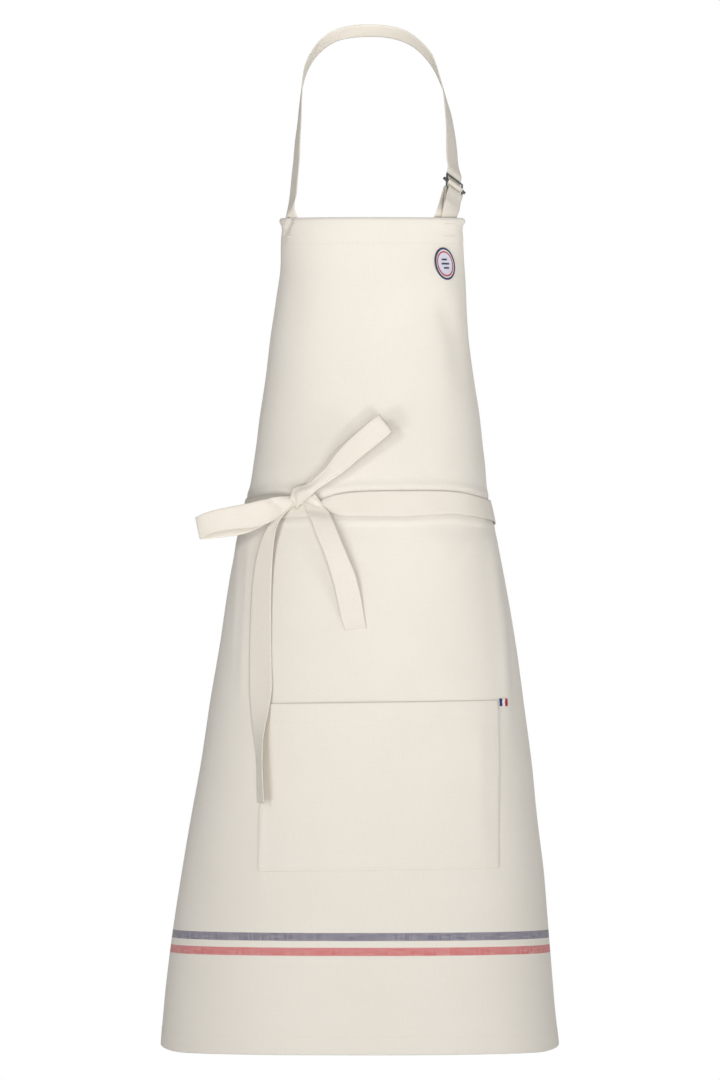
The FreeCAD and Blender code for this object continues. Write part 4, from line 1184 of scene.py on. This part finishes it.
knot = join("bow_knot_cloth", [wr, core])
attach(knot, "apron")
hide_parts("bow_knot")

BACK_OFF = -2.2

# ------------------------------------------------------------------ the neck loop
BC = np.array([90.300, -87.532, -161.200])
BU, BV, BN = np.array([0.5910, 0.6910, -0.4163]), np.array([0.0400, 0.4903, 0.8706]), np.array([0.8057, -0.5312, 0.2621])


def loc(u, v, n):
    return BC + BU * u + BV * v + BN * n


def sewn(xa, xb, zs, off):
    """Edge points of a tape end sewn flat behind the bib, from the bottom up."""
    za = np.asarray(zs, float)
    ea = lie(np.array([angle_at_x(xa, q) for q in za]), za, off)
    eb = lie(np.array([angle_at_x(xb, q) for q in za]), za, off)
    return ea, eb


def edges_of(centres, widths, w):
    c, d = np.array(centres, float), np.array(widths, float)
    d /= np.linalg.norm(d, axis=1)[:, None]
    return c - d * w / 2, c + d * w / 2


STRAP = [
    (-87.4, -190.0, -0.36), (-84.9, -176.0, -0.34), (-82.9, -156.0, -0.31), (-81.0, -134.0, -0.29), (-79.5, -110.0, -0.24),
    (-77.6, -86.0, -0.17), (-76.4, -68.0, -0.11), (-74.6, -50.0, -0.05), (-71.6, -37.0, 0.0), (-66.0, -25.0, 0.0),
    (-57.5, -13.5, 0.0), (-47.0, -4.6, 0.0), (-35.0, 1.6, 0.0), (-19.0, 5.1, 0.0), (-2.0, 5.9, 0.0),
    (15.0, 5.2, 0.0), (30.0, 2.2, 0.0), (43.0, -3.6, 0.0), (54.5, -12.5, 0.0), (64.5, -23.5, 0.0),
    (70.5, -34.0, 0.04), (75.0, -45.0, 0.09), (79.0, -57.0, 0.16), (82.2, -70.0, 0.24), (84.6, -84.0, 0.32),
    (86.6, -102.0, 0.40), (87.6, -120.0, 0.46), (88.6, -136.0, 0.52),
]
cs, ws = [], []
for x, z, wx in STRAP:
    rest = math.sqrt(1 - wx * wx)
    zr = z + 4.4 * float(smooth(-75.0, -5.0, z))
    cs.append((x, 0.543 * z, zr))
    ws.append((wx, 0.88 * rest, -0.48 * rest))
for v_, n_ in ((16.0, -0.4), (11.0, -1.6), (8.0, -2.0), (5.6, -1.5), (3.4, 0.2), (1.9, 1.5), (0.2, 2.05), (-1.35, 1.5), (-2.05, 0.2), (-1.6, -1.3), (-1.9, -2.3)):
    cs.append(loc(0, v_, n_))
    ws.append(BU)
e0, e1 = edges_of(cs, ws, 25.0)
f0, f1 = sewn(-80.0, -97.0, (-226.0, -217.0, -208.0, -201.0), BACK_OFF - 1.0)
st_ob, ln = tape("neck_strap_cloth", np.vstack([f0, e0]), np.vstack([f1, e1]), thick=1.15, step=1.6, nw=11,
                 rise=lambda s, v, t: 0.22 * np.sin(s / 17.0) * (1 - v * v) + 0.12 * np.sin(s / 7.3 + 2 * v), stitch=(2.3,), front=True, back=True, mat=M_STRAP, seed=21)
strap = finish_tape("neck_strap_cloth", st_ob, ln, r=0.13)
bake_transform(strap)
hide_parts("neck_strap", "strap_sewn_end")

# the tab: doubled tape round the lower bar, its two ends sewn behind the bib
tp = [(-27.0, -0.9, -3.0), (-22.0, -1.0, -2.4), (-16.0, -1.4, -1.8), (-11.0, -2.1, -0.6), (-8.0, -2.15, -0.3), (-6.5, -1.65, -0.1), (-5.9, 0.0, 0.0),
      (-6.5, 1.65, -0.1), (-8.0, 2.15, -0.3), (-11.0, 2.1, -0.6), (-16.0, 1.4, -1.8), (-22.0, 1.0, -2.4), (-27.0, 0.9, -3.0)]
e0, e1 = edges_of([loc(du, v_, n_) for v_, n_, du in tp], [BU] * len(tp), 25.0)
zz = (-226.0, -217.0, -208.0, -201.0)
b0, b1 = sewn(77.5, 93.5, zz, BACK_OFF - 2.0)
c0, c1 = sewn(77.5, 93.5, zz, BACK_OFF - 0.7)
tb_ob, ln = tape("buckle_tab_cloth", np.vstack([b0, e0, c0[::-1]]), np.vstack([b1, e1, c1[::-1]]), thick=1.0, step=0.9, nw=11, stitch=(2.3,), front=True, back=False, seed=22)
tab = finish_tape("buckle_tab_cloth", tb_ob, ln)
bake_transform(tab)
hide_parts("buckle_tab", "tab_sewn_end")

# the strap's loose end, behind the tab and the bib
FOOT = np.array([78.0, -112.37, -199.0])
DROP = np.array([-0.0499, 0.0200, -0.9986])
fth = angle_at_x(81.0, -199.0)
fnn = normal(fth, -199.0)
ftan = np.array([-fnn[1], fnn[0], 0.0])
ftan = ftan if ftan[0] > 0 else -ftan
ftan /= np.linalg.norm(ftan)
fp = [(loc(-1.4, -5.6, -3.6), BU), (loc(-2.2, -9.0, -4.0), BU), (loc(-3.6, -15.0, -4.2), BU), (loc(-4.8, -21.0, -4.8), BU),
      (FOOT - DROP * 7.0 + np.array([0, 1.6, 0]), np.array([0.60, 0.75, -0.28])), (FOOT, ftan + np.array([0, 0, -0.10])),
      (FOOT + DROP * 9.0, ftan), (FOOT + DROP * 24.0, ftan), (FOOT + DROP * 41.6, ftan)]
e0, e1 = edges_of([p + np.array([0.0, 1.1, 0.0]) for p, _ in fp], [w for _, w in fp], 23.8)
fe_ob, ln = tape("strap_free_cloth", e0, e1, thick=1.1, step=1.6, nw=11, stitch=(2.3,), front=True, back=True, seed=23)
free = finish_tape("strap_free_cloth", fe_ob, ln)
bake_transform(free)
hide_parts("strap_free_end")

lines = []
for xa, xb in ((-95.0, -82.0), (79.5, 91.5)):
    for zc in (-202.5, -216.0):
        ta, tb_ = angle_at_x(xa, zc), angle_at_x(xb, zc)
        ths = np.linspace(ta, tb_, 30)
        p0 = lie(ths, np.full(30, zc + 0.2), 0.16)
        p1 = lie(ths + (tb_ - ta) / 60, np.full(30, zc - 1.7), 0.16)
        for k in range(30):
            nv = normal(float(ths[k]), zc)
            lines.append((np.linspace(p0[k], p1[k], 3), np.array([nv, nv, nv])))
sbt = stitch_object("strap_bartack_stitches", lines, pitch=2.0, length=1.9, r=0.15, sink=0.0)
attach(sbt, "apron")
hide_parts("strap_bartacks")

for n_ in ("buckle_frame", "buckle_bar"):
    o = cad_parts[n_]
    o.data.materials.clear()
    o.data.materials.append(M_METAL)

# ------------------------------------------------------------------ badge
M_B_FIELD = thread_material("badge_field", (0.68, 0.66, 0.74), (0.60, 0.58, 0.68))
M_B_RED = thread_material("badge_red", (0.46, 0.035, 0.045), (0.36, 0.025, 0.035))
M_B_WHITE = thread_material("badge_white", (0.80, 0.79, 0.78), (0.70, 0.69, 0.68))
M_B_NAVY = thread_material("badge_slate", (0.055, 0.065, 0.135), (0.035, 0.04, 0.09))
BX, BZ, BR = 80.0, -246.6, 17.6
bs0 = float(th_to_s(angle_at_x(BX, BZ), BZ))


def on_badge(r, a, off):
    p, q = 0.71 * r * np.cos(a), r * np.sin(a)
    s = bs0 + p * 0.970 - q * 0.242
    z = BZ + p * 0.242 + q * 0.970
    return lie_s(s, z, off)


rad = np.array([0.0, 2.0, 4.0, 6.0, 8.0, 10.0, 11.4, 12.3, 12.9, 13.5, 14.1, 14.5, 14.9, 15.4, 15.8])
NA = 72
ang = np.linspace(0, 2 * math.pi, NA, endpoint=False)
vv, ff, mi = [], [], []
for k, r in enumerate(rad[1:]):
    p, _ = on_badge(np.full(NA, r), ang, 0.95 if 11.4 < r < 15.0 else 0.8)
    vv.append(p)
c, _ = on_badge(np.array([0.0]), np.array([0.0]), 0.8)
base, _ = on_badge(np.full(NA, 15.8), ang, 0.05)
verts = np.vstack(vv + [c, base])
nr = len(rad) - 1
ci = nr * NA
for j in range(NA):
    j2 = (j + 1) % NA
    ff.append((ci, j, j2)); mi.append(0)
    for k in range(nr - 1):
        ff.append((k * NA + j, (k + 1) * NA + j, (k + 1) * NA + j2, k * NA + j2))
        rm = 0.5 * (rad[k + 1] + rad[k + 2])
        mi.append(0 if rm < 12.0 else (1 if rm < 14.3 else 2))
    ff.append(((nr - 1) * NA + j, ci + 1 + j, ci + 1 + j2, (nr - 1) * NA + j2)); mi.append(2)
ff.append(tuple(ci + 1 + j for j in range(NA))[::-1]); mi.append(0)
uvs = np.zeros((len(verts), 2))
for k in range(nr):
    uvs[k * NA:(k + 1) * NA, 0] = rad[k + 1] * np.cos(ang) / 1000.0
    uvs[k * NA:(k + 1) * NA, 1] = rad[k + 1] * np.sin(ang) / 1000.0
badge = new_object("badge_cloth", verts / 1000.0, ff, uvs)
recalc(badge)
for m in (M_B_FIELD, M_B_RED, M_B_WHITE):
    badge.data.materials.append(m)
badge.data.polygons.foreach_set("material_index", mi)
# plain sewn device on the field: three short bars, and satin rings
lines = []
for zc, hl in ((4.6, 3.0), (0.0, 4.6), (-4.6, 3.0)):
    for q in np.linspace(-hl, hl, int(hl * 5)):
        pa, _ = lie_s(np.array([bs0 + q - 0.25 * zc]), np.array([BZ + zc + 0.8]), 0.95)
        pb, _ = lie_s(np.array([bs0 + q - 0.25 * zc]), np.array([BZ + zc - 0.8]), 0.95)
        nv = normal(angle_at_x(BX, BZ), BZ)
        lines.append((np.vstack([pa, 0.5 * (pa + pb), pb]), np.array([nv] * 3)))
dev = stitch_object("badge_device", lines, pitch=2.2, length=2.1, r=0.26, sink=0.0)
dev.data.materials.clear()
dev.data.materials.append(M_B_NAVY)
badge = join("badge_cloth", [badge, dev])
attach(badge, "apron")
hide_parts("badge_patch")
lines = []
nb = 150
for k in range(nb):
    a = 2 * math.pi * k / nb
    aa = np.full(3, a) + np.array([0, 0.02, 0.04])
    p, th_ = on_badge(np.array([15.6, 16.6, 17.7]), aa, np.array([0.85, 1.15, 0.45]))
    lines.append((p, normals_at(th_, p[:, 2])))
rim = stitch_object("badge_rim_stitches", lines, pitch=2.3, length=2.4, r=0.46, sink=0.0)
rim.data.materials.clear()
rim.data.materials.append(M_B_NAVY)
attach(rim, "apron")
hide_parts("badge_rim")

# ------------------------------------------------------------------ woven label in the pocket's side seam
M_L = [mat_new("label_navy"), mat_new("label_white"), mat_new("label_red")]
for (m_, nt_, bs_), c_ in zip(M_L, ((0.010, 0.018, 0.150), (0.82, 0.81, 0.79), (0.42, 0.012, 0.020))):
    tc = nd(nt_, "ShaderNodeTexCoord")
    wv = nd(nt_, "ShaderNodeTexWave")
    wv.inputs["Scale"].default_value = 900.0
    nt_.links.new(tc.outputs["Object"], wv.inputs["Vector"])
    mx = mix_rgb(nt_, wv.outputs["Fac"], tuple(0.82 * q for q in c_) + (1,), c_ + (1,))
    nt_.links.new(mx, bs_.inputs["Base Color"])
    bs_.inputs["Roughness"].default_value = 0.75
nu_, nv_ = 31, 13
uu, vv_ = np.linspace(0, 1, nu_), np.linspace(0, 1, nv_)
outer = np.zeros((nv_, nu_, 3))
inner = np.zeros_like(outer)
uvg = np.zeros((nv_, nu_, 2))
for i, v in enumerate(vv_):
    z = -716.2 - 7.9 * v - 0.5 * uu
    sR = np.array([float(th_to_s(PK_MID, q)) for q in z]) + PK_W / 2 + 0.7
    s = sR + 14.6 * uu + 1.3 * v * 0.6
    lift = 0.75 + 0.5 * uu * (1 - uu) + 0.25 * uu
    o, _ = lie_s(s, z, lift + 0.32)
    q_, _ = lie_s(s, z, lift - 0.32)
    outer[i], inner[i] = o, q_
    uvg[i, :, 0], uvg[i, :, 1] = uu * 0.015, -v * 0.008
label = grid_shell("pocket_side_label", outer, inner, uvg, rim=0.15)
for m_, _, _ in M_L:
    label.data.materials.append(m_)
lo = np.array([v.co[:] for v in label.data.vertices]) * 1000.0
p_l, p_r = outer[nv_ // 2, 0], outer[nv_ // 2, -1]
dr = (p_r - p_l) / np.linalg.norm(p_r - p_l) ** 2
for p in label.data.polygons:
    f = float(np.dot(np.mean([lo[i] for i in p.vertices], axis=0) - p_l, dr))
    p.material_index = 1 if f < 0.03 or f > 0.97 else (0 if f < 0.31 else (1 if f < 0.58 else (2 if f < 0.86 else 1)))
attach(label, "apron")
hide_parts("pocket_label")

# ------------------------------------------------------------------ stage and light
floor_z = -1.5
me = bpy.data.meshes.new("floor")
bm = bmesh.new()
bmesh.ops.create_circle(bm, cap_ends=True, segments=96, radius=3.0)
bm.to_mesh(me)
bm.free()
floor = bpy.data.objects.new("floor", me)
floor.location = (0, 0, floor_z)
scene.collection.objects.link(floor)
mf, ntf, bsf = mat_new("floor")
bsf.inputs["Base Color"].default_value = (0.86, 0.86, 0.86, 1)
bsf.inputs["Roughness"].default_value = 0.9
floor.data.materials.append(mf)

world = bpy.data.worlds.new("world")
scene.world = world
world.use_nodes = True
wn = world.node_tree
bg = wn.nodes["Background"]
bg.inputs[0].default_value = (1.0, 1.0, 1.0, 1)
bg.inputs[1].default_value = 1.0
WORLD_FILL = 0.27
lp = wn.nodes.new("ShaderNodeLightPath")
mixv = wn.nodes.new("ShaderNodeMix")
mixv.data_type = "FLOAT"
wn.links.new(lp.outputs["Is Camera Ray"], mixv.inputs[0])
mixv.inputs[2].default_value = WORLD_FILL
mixv.inputs[3].default_value = 1.0
wn.links.new(mixv.outputs[0], bg.inputs[1])


def area(name, loc, target, size, power, color=(1, 1, 1)):
    ld = bpy.data.lights.new(name, "AREA")
    ld.shape = "RECTANGLE"
    ld.size, ld.size_y = size
    ld.energy = power
    ld.color = color
    ob = bpy.data.objects.new(name, ld)
    ob.location = loc
    ob.rotation_euler = (Vector(target) - Vector(loc)).to_track_quat("-Z", "Y").to_euler()
    scene.collection.objects.link(ob)
    return ob


area("key", (1.15, -3.7, -1.95), (0, -0.1, -0.6), (0.55, 0.55), 78.0)
area("left", (-1.75, -3.6, 0.05), (0, -0.1, -0.6), (0.6, 0.6), 33.0)
area("right", (2.9, -1.9, -1.0), (0, -0.1, -0.7), (0.8, 1.6), 34.0)
area("front", (0.25, -4.2, -0.9), (0, -0.1, -0.7), (1.6, 2.2), 50.0)
area("low", (-1.9, -3.0, -1.75), (-0.1, 0, -1.25), (0.9, 0.9), 62.0)
area("back", (0.6, 4.2, 0.6), (0, 0.0, -0.6), (2.4, 2.4), 55.0)
scene.view_settings.view_transform = "Standard"
scene.view_settings.look = "None"
